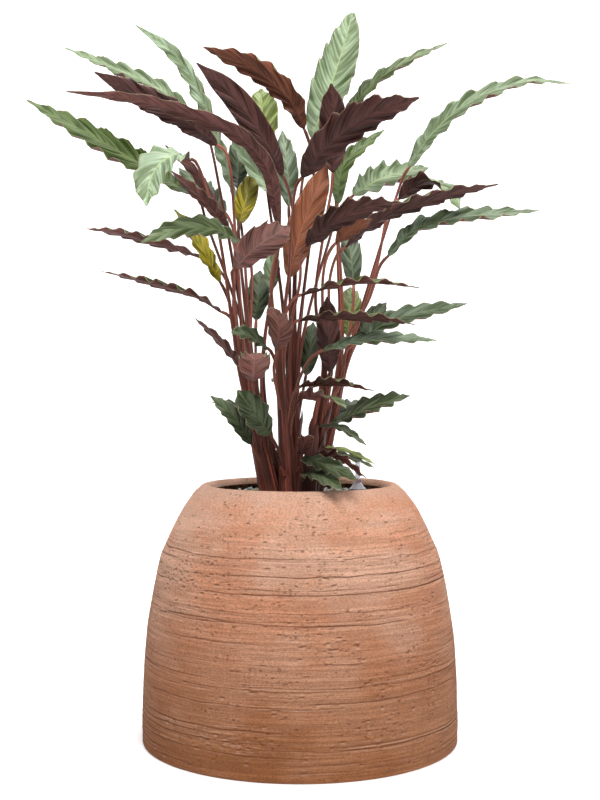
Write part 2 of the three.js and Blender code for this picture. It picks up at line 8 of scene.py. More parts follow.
import bpy
import numpy as np
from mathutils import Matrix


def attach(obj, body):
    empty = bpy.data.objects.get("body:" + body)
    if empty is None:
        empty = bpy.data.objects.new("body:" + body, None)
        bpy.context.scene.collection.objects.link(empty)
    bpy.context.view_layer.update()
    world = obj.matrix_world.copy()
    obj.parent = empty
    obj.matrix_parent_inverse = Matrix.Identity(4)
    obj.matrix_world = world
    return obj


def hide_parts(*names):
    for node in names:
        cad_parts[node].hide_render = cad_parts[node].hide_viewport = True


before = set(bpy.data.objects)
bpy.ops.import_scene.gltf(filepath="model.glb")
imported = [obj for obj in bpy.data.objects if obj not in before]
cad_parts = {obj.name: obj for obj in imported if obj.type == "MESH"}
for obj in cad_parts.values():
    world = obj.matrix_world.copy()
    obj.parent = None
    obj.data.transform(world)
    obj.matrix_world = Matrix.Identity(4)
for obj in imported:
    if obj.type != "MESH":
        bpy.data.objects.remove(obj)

MM = 0.001
POT_BODY = "planted_pot"
FLOAT_BODY = "gauge_float"
UP = np.array([0.0, 0.0, 1.0])
TAU = 2 * math.pi


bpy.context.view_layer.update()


# Camera: level with the lower leaves, as in the photograph
CAMERA_AT = (0.0, -1.72, 0.471)
CAMERA_PITCH = math.radians(1.05)
CAMERA_LENS = 59.6

camera_data = bpy.data.cameras.new("camera")
camera_data.lens = CAMERA_LENS
camera_data.sensor_fit = "AUTO"
camera_data.sensor_width = 36
camera = bpy.data.objects.new("camera", camera_data)
camera.location = CAMERA_AT
camera.rotation_euler = (math.pi / 2 - CAMERA_PITCH, 0, 0)
bpy.context.scene.collection.objects.link(camera)
bpy.context.scene.camera = camera


# Sizes that the CAD also has, in millimetres
WALL = 14
FLOOR_THICKNESS = 18
FOOT_RADIUS = 204
FOOT_EASE = 3
BELLY = [(204, 12), (204, 38), (199, 136), (183.5, 227), (171.7, 260), (153, 298), (137, 321)]
LIP_RADIUS = 8
LIP_CENTRE = (123, 323)
BED_LEVEL = 313
HEAP_HEIGHT = 2
GAUGE_AT = (76, 20)
SHAFT_FOOT = 166
SHAFT_RADIUS = 8
CHAMBER_RADIUS = 5.8
COLLAR_RADIUS = 11
COLLAR_TOP = 335
TUBE_SEAT = 322
TUBE_RADIUS = 3.4
TUBE_BORE = 2.3
TUBE_TOP = 371
FLOAT_RADIUS = 5.2
FLOAT_LENGTH = 34
ROD_RADIUS = 1.3
ROD_TOP = 337
GAP = 0.3
SHEATH_HEIGHT = 118
BRANCH_SHARE = 0.3
BRANCH_RING = 5
RISE_SHARE = 0.42
ARRIVE_SHARE = 0.22
NECK_LENGTH = 14
FUSED_DEPTH = 3
BASE_HALF_WIDTH = 1.8
TIP_HALF_WIDTH = 0.7
WAVE_SHARE = 0.24
SWELL_EARLY = 0.78
SWELL_FULL = 0.66
FOLD_SHARE = 0.16
LEAN_SHARE = 0.55

SHOOTS = {
    "left_front": ((-37, -16), (-0.2, -0.04, 1)),
    "left_back": ((-32, 20), (-0.17, 0.08, 1)),
    "centre_front": ((-13, -24), (-0.07, -0.05, 1)),
    "centre_back": ((-8, 16), (-0.02, 0.08, 1)),
    "right_front": ((9, -12), (0.16, -0.04, 1)),
    "right_back": ((15, 20), (0.24, 0.08, 1)),
    "low_front": ((6, -50), (0.1, -0.1, 1)),
}


@dataclass
class Leaf:
    """One leaf: the looks of its faces, where the green face points, its midrib and its stalk."""
    name: str
    shoot: str
    width: float
    waves: int
    top: str
    under: str
    face: tuple
    midrib: list
    stalk: list = field(default_factory=list)
    face_at_tip: tuple = None
    fused: bool = False


LEAVES = [
    Leaf("left_long", "left_back", 36, 8, "fresh", "maroon", (0.1, -0.75, 0.65),
         [(-143, 10, 708), (-198, 22, 742), (-253, 35, 775), (-366, 60, 840)], stalk=[(-123, 12, 674)]),
    Leaf("left_slim", "left_back", 26, 7, "sage", "maroon", (0, -0.6, 0.8),
         [(-133, 40, 800), (-177, 50, 845), (-224, 62, 873), (-320, 90, 917)], stalk=[(-105, 34, 712)]),
    Leaf("left_dark", "left_front", 32, 5, "mid", "dark", (0, 0.8, 0.6),
         [(-107, -12, 768), (-150, -14, 800), (-207, -18, 830), (-262, -24, 858)], stalk=[(-84, -14, 664)]),
    Leaf("left_arch", "centre_front", 20, 8, "mid", "maroon", (0, 0.7, 0.7),
         [(-27, -48, 660), (-36, -62, 716), (-54, -70, 748), (-80, -76, 770), (-110, -80, 783),
          (-149, -85, 796), (-206, -90, 810), (-286, -92, 819)], stalk=[(-36, -44, 596)]),
    Leaf("top_left_dark", "centre_back", 32, 5, "mid", "dark", (-0.3, 0.8, 0.5),
         [(-23, 10, 733), (-49, -6, 780), (-84, -20, 827), (-131, -36, 867)]),
    Leaf("top_left_pale", "left_back", 24, 9, "pale", "maroon", (-0.85, -0.45, 0.3),
         [(-86, 60, 708), (-106, 78, 775), (-136, 96, 855), (-173, 118, 915), (-230, 145, 962)]),
    Leaf("left_drooping", "left_front", 44, 5, "pale", "maroon", (-0.2, -0.7, 0.7),
         [(-140, -44, 744), (-155, -70, 745), (-171, -90, 732), (-182, -104, 709),
          (-186, -116, 676)], stalk=[(-107, -38, 670)], face_at_tip=(-0.25, -0.95, 0.1)),
    Leaf("left_upright", "left_front", 13, 5, "sage", "maroon", (-0.6, 0.5, 0.3),
         [(-96, -22, 669), (-119, -20, 708), (-139, -20, 737), (-172, -24, 765)]),
    Leaf("left_towards_front", "left_front", 17, 5, "sage", "maroon", (0, 0.3, 1),
         [(-92, -40, 660), (-116, -95, 684), (-150, -170, 710)]),
    Leaf("left_towards_back", "left_back", 30, 5, "grey", "maroon", (0, -0.3, 1),
         [(-100, 40, 688), (-131, 85, 724), (-171, 155, 764)]),
    Leaf("left_level", "left_front", 29, 6, "mid", "maroon", (0.1, -0.8, 0.55),
         [(-76, -52, 640), (-108, -88, 652), (-148, -112, 648), (-190, -136, 630)]),
    Leaf("front_left", "left_front", 38, 5, "mid", "pink", (-0.1, 1, 0.2),
         [(-80, -60, 606), (-56, -110, 625), (-31, -160, 636), (-12, -205, 641)], stalk=[(-84, -44, 583)]),
    Leaf("left_yellow", "left_front", 22, 5, "yellow", "pink", (0.6, -0.7, 0.3),
         [(-103, -12, 592), (-119, -14, 622), (-138, -16, 655), (-161, -20, 684)], stalk=[(-86, -12, 545)]),
    Leaf("left_slender", "left_back", 24, 7, "mid", "maroon", (0, 0.35, 0.95),
         [(-128, 26, 626), (-172, 32, 640), (-237, 40, 658), (-285, 50, 667)]),
    Leaf("left_low_long", "left_front", 28, 7, "mid", "maroon", (0, 0.05, 1),
         [(-101, -24, 553), (-130, -32, 570), (-173, -46, 583), (-247, -70, 601)], stalk=[(-77, -20, 492)]),
    Leaf("left_low_short", "left_front", 15, 4, "mid", "maroon", (0.2, 0.3, 0.9),
         [(-76, -34, 482), (-90, -56, 502), (-107, -76, 521), (-128, -100, 541)]),
    Leaf("left_low_dark", "centre_front", 24, 4, "dark", "maroon", (0.1, -0.8, 0.6),
         [(-41, -46, 506), (-62, -74, 520), (-84, -100, 524)]),
    Leaf("front_low_broad", "left_front", 36, 5, "mid", "pink", (0, 0.3, 1),
         [(-59, -46, 464), (-55, -120, 486), (-52, -205, 497)]),
    Leaf("front_folded", "centre_front", 30, 5, "mid", "pink", (0.3, 0.4, 0.9),
         [(-28, -62, 504), (-25, -112, 533), (-32, -172, 551)], stalk=[(-33, -50, 483)]),
    Leaf("front_low_dark", "centre_front", 34, 4, "dark", "maroon", (0.1, -0.9, 0.5),
         [(-38, -52, 396), (-57, -66, 425), (-78, -66, 453)]),
    Leaf("low_left_dark", "left_front", 20, 5, "dark", "maroon", (0.2, -0.9, 0.4),
         [(-62, -40, 385), (-82, -58, 418), (-111, -76, 446)]),
    Leaf("back_left_high", "left_back", 30, 4, "deep", "maroon", (0, -0.7, 0.7),
         [(-84, 72, 724), (-84, 108, 768), (-84, 160, 808)]),
    Leaf("back_high_pale", "centre_back", 42, 4, "lime", "maroon", (-0.1, -0.9, 0.4),
         [(-50, 90, 779), (-52, 130, 835), (-56, 175, 880)]),
    Leaf("back_mid_olive", "left_back", 28, 4, "deep", "dark", (0, -0.7, 0.7),
         [(-58, 36, 545), (-56, 80, 584), (-56, 135, 618)]),
    Leaf("top_brown", "centre_back", 34, 6, "mid", "brown", (0.2, 0.6, 0.75),
         [(5, 16, 794), (-14, 2, 829), (-59, -14, 864), (-122, -40, 886)]),
    Leaf("top_pale", "centre_back", 50, 6, "moss", "maroon", (0, -0.85, 0.5),
         [(16, 42, 786), (35, 70, 843), (57, 110, 914), (74, 150, 981)]),
    Leaf("top_front", "centre_front", 43, 6, "mid", "dark", (0, 0.7, 0.7),
         [(3, -60, 719), (30, -90, 749), (77, -130, 780), (138, -180, 793)], stalk=[(-14, -48, 600)]),
    Leaf("top_upright", "right_front", 34, 4, "sage", "dark", (0, 0.9, 0.4),
         [(42, -15, 732), (43, -30, 772), (39, -60, 836)], stalk=[(20, -16, 568), (29, -16, 645)]),
    Leaf("centre_copper", "centre_front", 38, 5, "mid", "copper", (0.2, 0.9, 0.3),
         [(-14, -8, 598), (-2, -8, 648), (17, -6, 700), (36, 0, 748)]),
    Leaf("back_centre_high", "centre_back", 26, 4, "grey", "maroon", (0.1, -0.8, 0.6),
         [(-15, 45, 697), (-17, 85, 752), (-25, 145, 815)]),
    Leaf("front_right", "centre_front", 36, 6, "mid", "dark", (0, 0.5, 0.85),
         [(9, -65, 633), (36, -100, 655), (77, -140, 671), (116, -182, 672)], stalk=[(0, -50, 591)]),
    Leaf("right_copper", "right_front", 20, 3, "mid", "rust", (0, 0.6, 0.8),
         [(46, -34, 640), (64, -44, 655), (90, -54, 667)]),
    Leaf("right_dark_long", "right_front", 30, 7, "mid", "dark", (0, 0.4, 0.9),
         [(59, -8, 637), (83, -8, 658), (120, -10, 680), (190, -14, 702),
          (254, -20, 716)], stalk=[(38, -8, 592)]),
    Leaf("right_curled", "right_back", 32, 4, "sage", "dark", (-0.1, 0.75, 0.6),
         [(131, 36, 705), (149, 30, 719), (170, 22, 724), (192, 14, 713),
          (208, 8, 688)], stalk=[(101, 32, 614)], face_at_tip=(0.35, -0.95, 0.3)),
    Leaf("right_long", "right_back", 28, 8, "moss", "maroon", (0, -0.6, 0.8),
         [(147, 60, 751), (178, 70, 797), (230, 80, 842), (303, 88, 870),
          (369, 96, 870)], stalk=[(96, 52, 606), (118, 56, 676)]),
    Leaf("right_middle", "right_front", 30, 7, "grey", "maroon", (-0.2, -0.6, 0.8),
         [(115, 6, 627), (142, 8, 656), (170, 12, 670), (221, 20, 680),
          (316, 34, 689)], stalk=[(90, 4, 571)]),
    Leaf("back_right_slim", "right_back", 23, 6, "mid", "maroon", (0, -0.5, 0.85),
         [(61, 122, 812), (76, 128, 846), (102, 132, 878), (152, 142, 912), (211, 160, 942)]),
    Leaf("back_right_high", "centre_back", 22, 5, "fresh", "maroon", (0, -0.6, 0.8),
         [(50, 46, 700), (56, 66, 748), (80, 90, 780), (117, 124, 812)]),
    Leaf("right_pale", "right_back", 44, 6, "sage", "maroon", (0, -0.7, 0.7),
         [(72, 70, 714), (117, 104, 744), (181, 150, 764)]),
    Leaf("back_right_middle", "right_back", 26, 4, "grey", "maroon", (0, -0.8, 0.6),
         [(72, 62, 592), (70, 96, 636), (68, 142, 678)]),
    Leaf("front_level", "centre_front", 30, 6, "mid", "maroon", (0, 0.05, 1),
         [(2, -52, 573), (43, -67, 582), (87, -82, 586), (147, -102, 578)]),
    Leaf("front_level_low", "centre_front", 26, 6, "mid", "dark", (0, 0.3, 1),
         [(1, -56, 541), (49, -82, 543), (97, -107, 540), (138, -132, 532)]),
    Leaf("centre_dark", "right_front", 28, 4, "mid", "dark", (0, 0.9, 0.3),
         [(38, -32, 476), (36, -42, 524), (34, -58, 570)]),
    Leaf("back_right_bright", "right_back", 30, 4, "lime", "maroon", (0, -0.8, 0.6),
         [(64, 50, 524), (68, 92, 562), (71, 152, 596)]),
    Leaf("right_low", "right_front", 26, 6, "grey", "maroon", (0, -0.7, 0.7),
         [(72, -16, 512), (121, -22, 543), (213, -28, 563)], stalk=[(54, -14, 467)]),
    Leaf("right_low_front", "centre_front", 22, 6, "grey", "maroon", (0, -0.6, 0.8),
         [(29, -64, 503), (74, -80, 515), (122, -94, 516), (166, -107, 514)]),
    Leaf("left_olive", "left_back", 26, 3, "yellow", "pink", (0.2, -0.8, 0.5),
         [(-80, 36, 672), (-72, 48, 706), (-62, 66, 744)], fused=True),
    Leaf("left_inner", "left_back", 24, 4, "pale", "maroon", (0.2, -0.8, 0.5),
         [(-36, 24, 709), (-62, 30, 747), (-93, 36, 791)], fused=True),
    Leaf("centre_pale", "centre_back", 20, 3, "moss", "maroon", (0.2, -0.8, 0.5),
         [(-38, 34, 586), (-38, 50, 612), (-36, 72, 636)], fused=True),
    Leaf("centre_green", "centre_back", 24, 3, "deep", "maroon", (0.1, -0.9, 0.4),
         [(8, 40, 472), (14, 62, 512), (18, 92, 544)], fused=True),
    Leaf("front_low_right", "centre_front", 24, 5, "mid", "maroon", (0, 0.4, 0.9),
         [(2, -58, 458), (43, -96, 462), (88, -142, 453)]),
    Leaf("right_lowest", "right_front", 32, 5, "dark", "maroon", (0, -0.6, 0.8),
         [(41, -24, 410), (88, -46, 431), (137, -70, 446)]),
    Leaf("back_right_low", "right_back", 20, 3, "dark", "maroon", (0, -0.4, 0.9),
         [(44, 52, 413), (64, 80, 430), (88, 122, 436)], fused=True),
    Leaf("right_hidden", "right_back", 24, 4, "dark", "maroon", (0, -0.7, 0.7),
         [(76, 36, 518), (96, 64, 548), (118, 92, 571)], fused=True),
    Leaf("back_low", "centre_back", 22, 4, "dark", "maroon", (0, -0.3, 1),
         [(-16, 56, 440), (-24, 96, 462), (-36, 160, 464)], fused=True),
    Leaf("back_left_low", "left_back", 20, 3, "dark", "maroon", (0, -0.3, 1),
         [(-62, 52, 410), (-88, 84, 430), (-122, 122, 434)], fused=True),
    Leaf("front_lowest_under", "centre_front", 28, 4, "mid", "maroon", (0, 0.65, 0.75),
         [(0, -56, 442), (26, -104, 447), (54, -172, 433)], fused=True),
    Leaf("low_wavy", "low_front", 22, 5, "dark", "maroon", (0, -0.7, 0.7),
         [(2, -78, 369), (32, -112, 362), (68, -148, 347)], fused=True),
    Leaf("over_rim", "low_front", 23, 4, "dark", "maroon", (0, -0.7, 0.7),
         [(3, -72, 348), (22, -110, 351), (50, -152, 336)], fused=True),
    Leaf("low_upright", "low_front", 16, 3, "dark", "maroon", (0, 0.6, 0.6),
         [(2, -66, 372), (6, -92, 390), (11, -138, 400)], fused=True),
    Leaf("low_brown", "low_front", 24, 4, "dark", "maroon", (0, 0.6, 0.8),
         [(22, -60, 373), (50, -84, 368), (80, -112, 347)], fused=True),
    Leaf("low_narrow", "low_front", 14, 4, "dark", "maroon", (0, -0.3, 1),
         [(22, -52, 408), (50, -74, 406), (81, -98, 386)], fused=True),
    Leaf("low_spear", "right_front", 10, 3, "lime", "maroon", (0, -0.3, 1),
         [(32, -20, 380), (62, -34, 374), (94, -54, 360)], fused=True),
    Leaf("low_back_spear", "right_front", 14, 3, "dark", "maroon", (0, -0.3, 1),
         [(34, -4, 372), (62, 0, 366), (96, -8, 352)], fused=True),
]

# Colours of the leaves' green faces and of their undersides, as screen levels
GREENS = {
    "mid": (96, 110, 74),
    "fresh": (86, 104, 52),
    "grey": (106, 121, 98),
    "sage": (136, 154, 120),
    "pale": (168, 188, 156),
    "moss": (132, 150, 117),
    "lime": (140, 154, 84),
    "dark": (74, 84, 60),
    "deep": (52, 64, 34),
    "yellow": (160, 146, 34),
}
REDS = {
    "maroon": (88, 54, 50),
    "dark": (70, 43, 40),
    "brown": (104, 62, 46),
    "rust": (116, 66, 44),
    "pink": (122, 84, 78),
    "copper": (130, 78, 52),
}


# Meshes
def levels(*rgb):
    """Screen levels of 0 to 255 as the linear colour that shaders take."""
    share = np.array(rgb) / 255
    return np.where(share <= 0.04045, share / 12.92, ((share + 0.055) / 1.055) ** 2.4)


def rgba(*rgb):
    return (*levels(*rgb), 1.0)


def unit(vector):
    vector = np.asarray(vector, float)
    return vector / np.linalg.norm(vector)


def smooth(low, high, value):
    share = np.clip((np.asarray(value, float) - low) / (high - low), 0, 1)
    return share * share * (3 - 2 * share)


def piece(name, points, faces, materials, slot, stands_for=(), body=POT_BODY, which=None, layers=None):
    """A smooth mesh object from points in millimetres, riding on a body of the frame."""
    mesh = bpy.data.meshes.new(name)
    mesh.from_pydata((np.asarray(points) * MM).tolist(), [], [list(face) for face in faces])
    for material in materials:
        mesh.materials.append(material)
    if which is not None:
        mesh.polygons.foreach_set("material_index", np.asarray(which, np.int32))
    for layer, values in (layers or {}).items():
        made = mesh.attributes.new(layer, "FLOAT_COLOR", "POINT")
        made.data.foreach_set("color", np.asarray(values, np.float32).ravel())
    mesh.shade_smooth()
    mesh.update()
    made = bpy.data.objects.new(name, mesh)
    bpy.context.scene.collection.objects.link(made)
    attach(made, body)
    if stands_for:
        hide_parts(*stands_for)
    return made


def point_layer(*channels):
    """A value for each point of a grid, from three channels that fill each other's shape."""
    return np.stack(np.broadcast_arrays(*channels, 1.0), axis=-1).reshape(-1, 4)


def row_layer(colours, alpha, columns):
    """A value for each point of a grid, the same on all points of a row."""
    return np.column_stack([colours, np.full(len(colours), alpha)]).repeat(columns, axis=0)


def grid_faces(rows, columns, wrap=False):
    """Quads between rows of points, closed round each row where it wraps."""
    row = np.arange(rows - 1)[:, None] * columns
    column = np.arange(columns if wrap else columns - 1)[None, :]
    after = (column + 1) % columns
    quads = [row + column, row + after, row + columns + after, row + columns + column]
    return np.stack(quads, axis=-1).reshape(-1, 4)


def turned(outline, sides, at=(0, 0), caps=(False, False)):
    """Points and faces of a body turned about an upright axis, with a flat cap at either end if asked."""
    turn = np.arange(sides) * TAU / sides
    outline = np.array(outline, float)
    x = at[0] + outline[:, :1] * np.cos(turn)
    y = at[1] + outline[:, :1] * np.sin(turn)
    z = np.repeat(outline[:, 1:], sides, axis=1)
    faces = grid_faces(len(outline), sides, wrap=True).tolist()
    if caps[0]:
        faces.append(list(range(sides))[::-1])
    if caps[1]:
        faces.append(list(range((len(outline) - 1) * sides, len(outline) * sides)))
    return np.stack([x, y, z], axis=-1).reshape(-1, 3), faces


class Parts:
    """Points, faces and layers of many small shapes, gathered for one piece."""

    def __init__(self):
        self.points, self.faces, self.which, self.layers, self.count = [], [], [], {}, 0

    def add(self, points, faces, which=0, **layers):
        self.faces += [[corner + self.count for corner in face] for face in faces]
        self.which += [which] * len(faces) if np.isscalar(which) else list(which)
        self.points.append(np.asarray(points, float))
        for layer, values in layers.items():
            self.layers.setdefault(layer, []).append(np.broadcast_to(values, (len(points), 4)))
        self.count += len(points)

    def make(self, name, materials, slot, **more):
        layers = {layer: np.concatenate(values) for layer, values in self.layers.items()}
        return piece(name, np.concatenate(self.points), self.faces, materials, slot,
                     which=self.which, layers=layers, **more)


# Curves
def hermite(points, uneven, per_span=32):
    """A smooth way through points, dense enough to be measured as a chain.

    Its slopes allow for spans of uneven length where that is asked for.
    """
    points = np.array(points, float)
    ends = [2 * points[0] - points[1]], [2 * points[-1] - points[-2]]
    chain = np.concatenate([ends[0], points, ends[1]])
    share = np.linspace(0, 1, per_span, endpoint=False)[:, None]
    out = []
    for a, b, c, d in zip(chain, chain[1:], chain[2:], chain[3:]):
        leaves_at, meets_at = (c - a) / 2, (d - b) / 2
        if uneven:
            first, middle, last = (np.linalg.norm(q - p) ** 0.5 for p, q in ((a, b), (b, c), (c, d)))
            leaves_at = middle * ((b - a) / first - (c - a) / (first + middle) + (c - b) / middle)
            meets_at = middle * ((c - b) / middle - (d - b) / (middle + last) + (d - c) / last)
        square, cube = share ** 2, share ** 3
        out.append(b * (2 * cube - 3 * square + 1) + leaves_at * (cube - 2 * square + share)
                   + c * (3 * square - 2 * cube) + meets_at * (cube - square))
    return np.concatenate([*out, points[-1:]])


def bezier(a, b, c, d, count=65):
    share = np.linspace(0, 1, count)[:, None]
    rest = 1 - share
    return a * rest ** 3 + 3 * b * share * rest ** 2 + 3 * c * share ** 2 * rest + d * share ** 3


def lengths(chain):
    return np.concatenate([[0], np.cumsum(np.linalg.norm(np.diff(chain, axis=0), axis=1))])


def at_shares(chain, shares):
    """Points and directions at shares of a chain's length."""
    along = lengths(chain)
    wanted = np.asarray(shares) * along[-1]
    points = np.stack([np.interp(wanted, along, chain[:, k]) for k in range(3)], axis=-1)
    slope = np.gradient(chain, along, axis=0)
    forward = np.stack([np.interp(wanted, along, slope[:, k]) for k in range(3)], axis=-1)
    return points, forward / np.linalg.norm(forward, axis=1, keepdims=True)


def midrib_of(leaf):
    return hermite(leaf.midrib, uneven=False)


def stalk_of(leaf):
    """The stalk's way from the granules, up inside its shoot and in line with the midrib."""
    foot, lean = SHOOTS[leaf.shoot]
    foot = np.array([*foot, BED_LEVEL], float)
    base = np.array(leaf.midrib[0], float)
    arrives = at_shares(midrib_of(leaf), [0])[1][0]
    end = base + arrives * (FUSED_DEPTH if leaf.fused else 0)
    rises = unit(lean)
    climb = min((base[2] - BED_LEVEL) * BRANCH_SHARE, SHEATH_HEIGHT - 2 * BRANCH_RING)
    middle = foot + rises * climb
    stops = [np.array(stop, float) for stop in leaf.stalk]
    aim = (stops or [base])[0] - middle
    outward = unit((aim[0], aim[1], 0))
    start = middle + outward * BRANCH_RING
    if stops:
        reach = np.linalg.norm(stops[0] - start)
        way = hermite([start, start + rises * reach * RISE_SHARE, *stops, end - arrives * NECK_LENGTH, end],
                      uneven=True)
    else:
        reach = np.linalg.norm(end - start)
        way = bezier(start, start + rises * reach * RISE_SHARE, end - arrives * reach * ARRIVE_SHARE, end)
    below = foot + outward * FOOT_RING - UP * FOOT_DEPTH
    rooted = np.linspace(below, start, ROOT_STEPS, endpoint=False)
    return np.concatenate([rooted, way])


# Materials
# Painted shade for the clay's hollows and scored lines
HOLLOW_SHADE = rgba(118, 70, 46)
PORE_SHADE = rgba(112, 62, 38)
# Painted highlight for the clay's ridges and the lips of its pits
RIDGE_HIGHLIGHT = rgba(232, 190, 164)
# Painted highlight for the planter's lip
LIP_HIGHLIGHT = rgba(240, 200, 176)
# Lower and upper clay colours: the wall darker towards the bottom, partly its own colour and partly painted
# shade from the light above
LOW_CLAYS = rgba(164, 105, 66), rgba(178, 121, 84)
HIGH_CLAYS = rgba(242, 174, 139), rgba(250, 200, 172)
CLAY_TONES = (0.72, 0.67, 0.64, 1), (1.2, 1.22, 1.24, 1)
FURROW_SPACING = 9.0
RIB_SPACING = FURROW_SPACING / 3
EDGE_SHARE = 0.5


class Surface:
    """A material with a principled shader, and short ways to add the nodes that paint it."""

    def __init__(self, name, colour=None, **plugs):
        self.material = bpy.data.materials.new(name)
        self.material.use_nodes = True
        self.tree = self.material.node_tree
        self.shader = self.tree.nodes["Principled BSDF"]
        for key, value in plugs.items():
            self.shader.inputs[key.replace("_", " ")].default_value = value
        if colour:
            self.shader.inputs["Base Color"].default_value = colour

    def node(self, kind, plugs=None, **settings):
        """A shader node, with each plug given as a value or as another node's socket."""
        made = self.tree.nodes.new("ShaderNode" + kind)
        for key, value in settings.items():
            setattr(made, key, value)
        for key, value in (plugs or {}).items():
            if isinstance(value, bpy.types.NodeSocket):
                self.tree.links.new(value, made.inputs[key])
            else:
                made.inputs[key].default_value = value
        return made

    def place(self):
        return self.node("TexCoord").outputs["Object"]

    def layer(self, name, output=0):
        return self.node("Attribute", attribute_name=name).outputs[output]

    def math(self, operation, *values):
        return self.node("Math", dict(enumerate(values)), operation=operation).outputs[0]

    def times(self, first, second):
        return self.math("MULTIPLY", first, second)

    def mix(self, share, first, second, blend="MIX"):
        """Two colours mixed by a share."""
        plugs = {0: share, 6: first, 7: second}
        return self.node("Mix", plugs, data_type="RGBA", blend_type=blend).outputs[2]

    def toned(self, colour, tone):
        """A colour times another."""
        return self.mix(1.0, colour, tone, "MULTIPLY")

    def ramp(self, value, low, high, first=0.0, last=1.0):
        plugs = {0: value, 1: low, 2: high, 3: first, 4: last}
        return self.node("MapRange", plugs, interpolation_type="SMOOTHSTEP").outputs[0]

    def stretched(self, place, scale):
        return self.node("Mapping", {"Vector": place, "Scale": scale}).outputs[0]

    def noise(self, place, scale, detail=4.0, rough=0.55):
        """Noise of one scale, or of a scale for each axis."""
        if not np.isscalar(scale):
            place, scale = self.stretched(place, scale), 1.0
        plugs = {"Vector": place, "Scale": scale, "Detail": detail, "Roughness": rough}
        return self.node("TexNoise", plugs).outputs[0]

    def paint(self, colour, roughness=None):
        self.tree.links.new(colour, self.shader.inputs["Base Color"])
        if roughness is not None:
            self.tree.links.new(roughness, self.shader.inputs["Roughness"])

    def bump(self, height, distance, strength=1.0):
        made = self.node("Bump", {"Height": height, "Distance": distance, "Strength": strength})
        self.tree.links.new(made.outputs[0], self.shader.inputs["Normal"])


def clay_material():
    """Fired clay: broad patches, level lines, grain and pores; painted shade in the pores, scored lines and
    hollows, a painted highlight on the ridges and the lip, and a wall darker towards the bottom, partly by
    painted shade.
    """
    skin = Surface("clay", Specular_IOR_Level=0.2)
    place = skin.place()
    tall = skin.node("SeparateXYZ", {0: place}).outputs[2]
    relief = skin.node("SeparateColor", {0: skin.layer("relief")}).outputs[0]
    broad = skin.noise(place, (8, 8, 14), 3.0)
    line = skin.noise(place, (7, 7, 250), 3.0, 0.6)
    grain = skin.noise(place, (380, 380, 620), 4.0, 0.7)
    scored = skin.noise(place, (4, 4, 150), 2.0)
    rough = skin.noise(place, (22, 22, 30), 2.0)
    patch = skin.ramp(broad, 0.38, 0.62)
    # Darker towards the bottom, partly painted shade
    colour = skin.mix(skin.ramp(tall, 0.0, 0.36), skin.mix(patch, *LOW_CLAYS), skin.mix(patch, *HIGH_CLAYS))
    # A painted highlight on the lip
    colour = skin.mix(skin.ramp(tall, 0.31, 0.329, 0.0, 0.5), colour, LIP_HIGHLIGHT)

    # Level lines and grain lighten and darken the colour, and the lines fade out towards the lip
    lined = skin.ramp(tall, 0.33, 0.26)
    for share, dark, light, amount in ((line, 0.42, 0.58, skin.times(lined, 0.45)), (grain, 0.38, 0.62, 0.6)):
        tone = skin.mix(skin.ramp(share, dark, light), *CLAY_TONES)
        colour = skin.mix(amount, colour, skin.toned(colour, tone))
    # The scored lines get painted shade
    beside = skin.math("ABSOLUTE", skin.math("SUBTRACT", scored, 0.5))
    score = skin.times(skin.ramp(beside, 0.045, 0.0), skin.times(skin.ramp(line, 0.42, 0.54), lined))
    colour = skin.mix(skin.times(score, 0.3), colour, HOLLOW_SHADE)

    # Pores are a choice of warped cells, more of them in some places than in others
    warp = skin.node("TexNoise", {"Vector": place, "Scale": 300.0, "Detail": 2.0}).outputs[1]
    cells = skin.node("VectorMath", {0: warp, 1: (1.1, 1.1, 1.1), 2: skin.stretched(place, (150, 150, 300))},
                      operation="MULTIPLY_ADD").outputs[0]
    pores = skin.node("TexVoronoi", {"Vector": cells, "Scale": 1.0}).outputs
    chosen = skin.ramp(skin.node("SeparateColor", {0: pores[1]}).outputs[0], 0.2, 1.0, -0.1, 0.45)
    reach = skin.times(chosen, skin.ramp(rough, 0.38, 0.58))
    pit = skin.ramp(skin.math("SUBTRACT", reach, pores[0]), -0.1, 0.3)
    colour = skin.mix(skin.times(pit, 0.6), colour, PORE_SHADE)
    # Painted highlight on the ridges of the relief
    colour = skin.mix(skin.times(skin.ramp(relief, 0.53, 0.85), 0.5), colour, RIDGE_HIGHLIGHT)
    # Painted shade in the hollows of the relief
    colour = skin.mix(skin.times(skin.ramp(relief, 0.46, 0.14), 0.7), colour, HOLLOW_SHADE)
    skin.paint(colour, skin.ramp(grain, 0.3, 0.7, 0.8, 0.95))
    lines = skin.math("SUBTRACT", skin.times(line, lined), skin.times(score, 0.22))
    height = skin.math("MULTIPLY_ADD", lines, 0.8, skin.times(grain, 0.9))
    skin.bump(skin.math("MULTIPLY_ADD", pit, -0.45, height), 0.006)
    return skin.material


def inner_clay_material():
    skin = Surface("inner_clay", Roughness=0.95, Specular_IOR_Level=0.1)
    coarse = skin.noise(skin.place(), 120.0, 6.0, 0.7)
    skin.paint(skin.mix(skin.ramp(coarse, 0.35, 0.68), rgba(62, 44, 34), rgba(138, 108, 84)))
    skin.bump(coarse, 0.002, 0.8)
    return skin.material


def granule_material(name, first, second):
    skin = Surface(name, Roughness=0.8, Specular_IOR_Level=0.25)
    place = skin.place()
    patches = skin.ramp(skin.noise(place, 260.0, 3.0), 0.35, 0.65)
    skin.paint(skin.toned(skin.mix(patches, rgba(*first), rgba(*second)), skin.layer("tint")))
    skin.bump(skin.noise(place, 1500.0, 4.0, 0.7), 0.0004, 0.6)
    return skin.material


def bed_material():
    skin = Surface("granule_ground", Roughness=0.95, Specular_IOR_Level=0.1)
    away = skin.node("TexVoronoi", {"Vector": skin.place(), "Scale": 230.0}, feature="F1").outputs[0]
    # Pale cells darken towards their edges: painted shade in the gaps between stones
    skin.paint(skin.mix(skin.ramp(away, 0.1, 0.6), rgba(150, 142, 128), rgba(60, 52, 46)))
    skin.bump(away, 0.002, -0.6)
    return skin.material


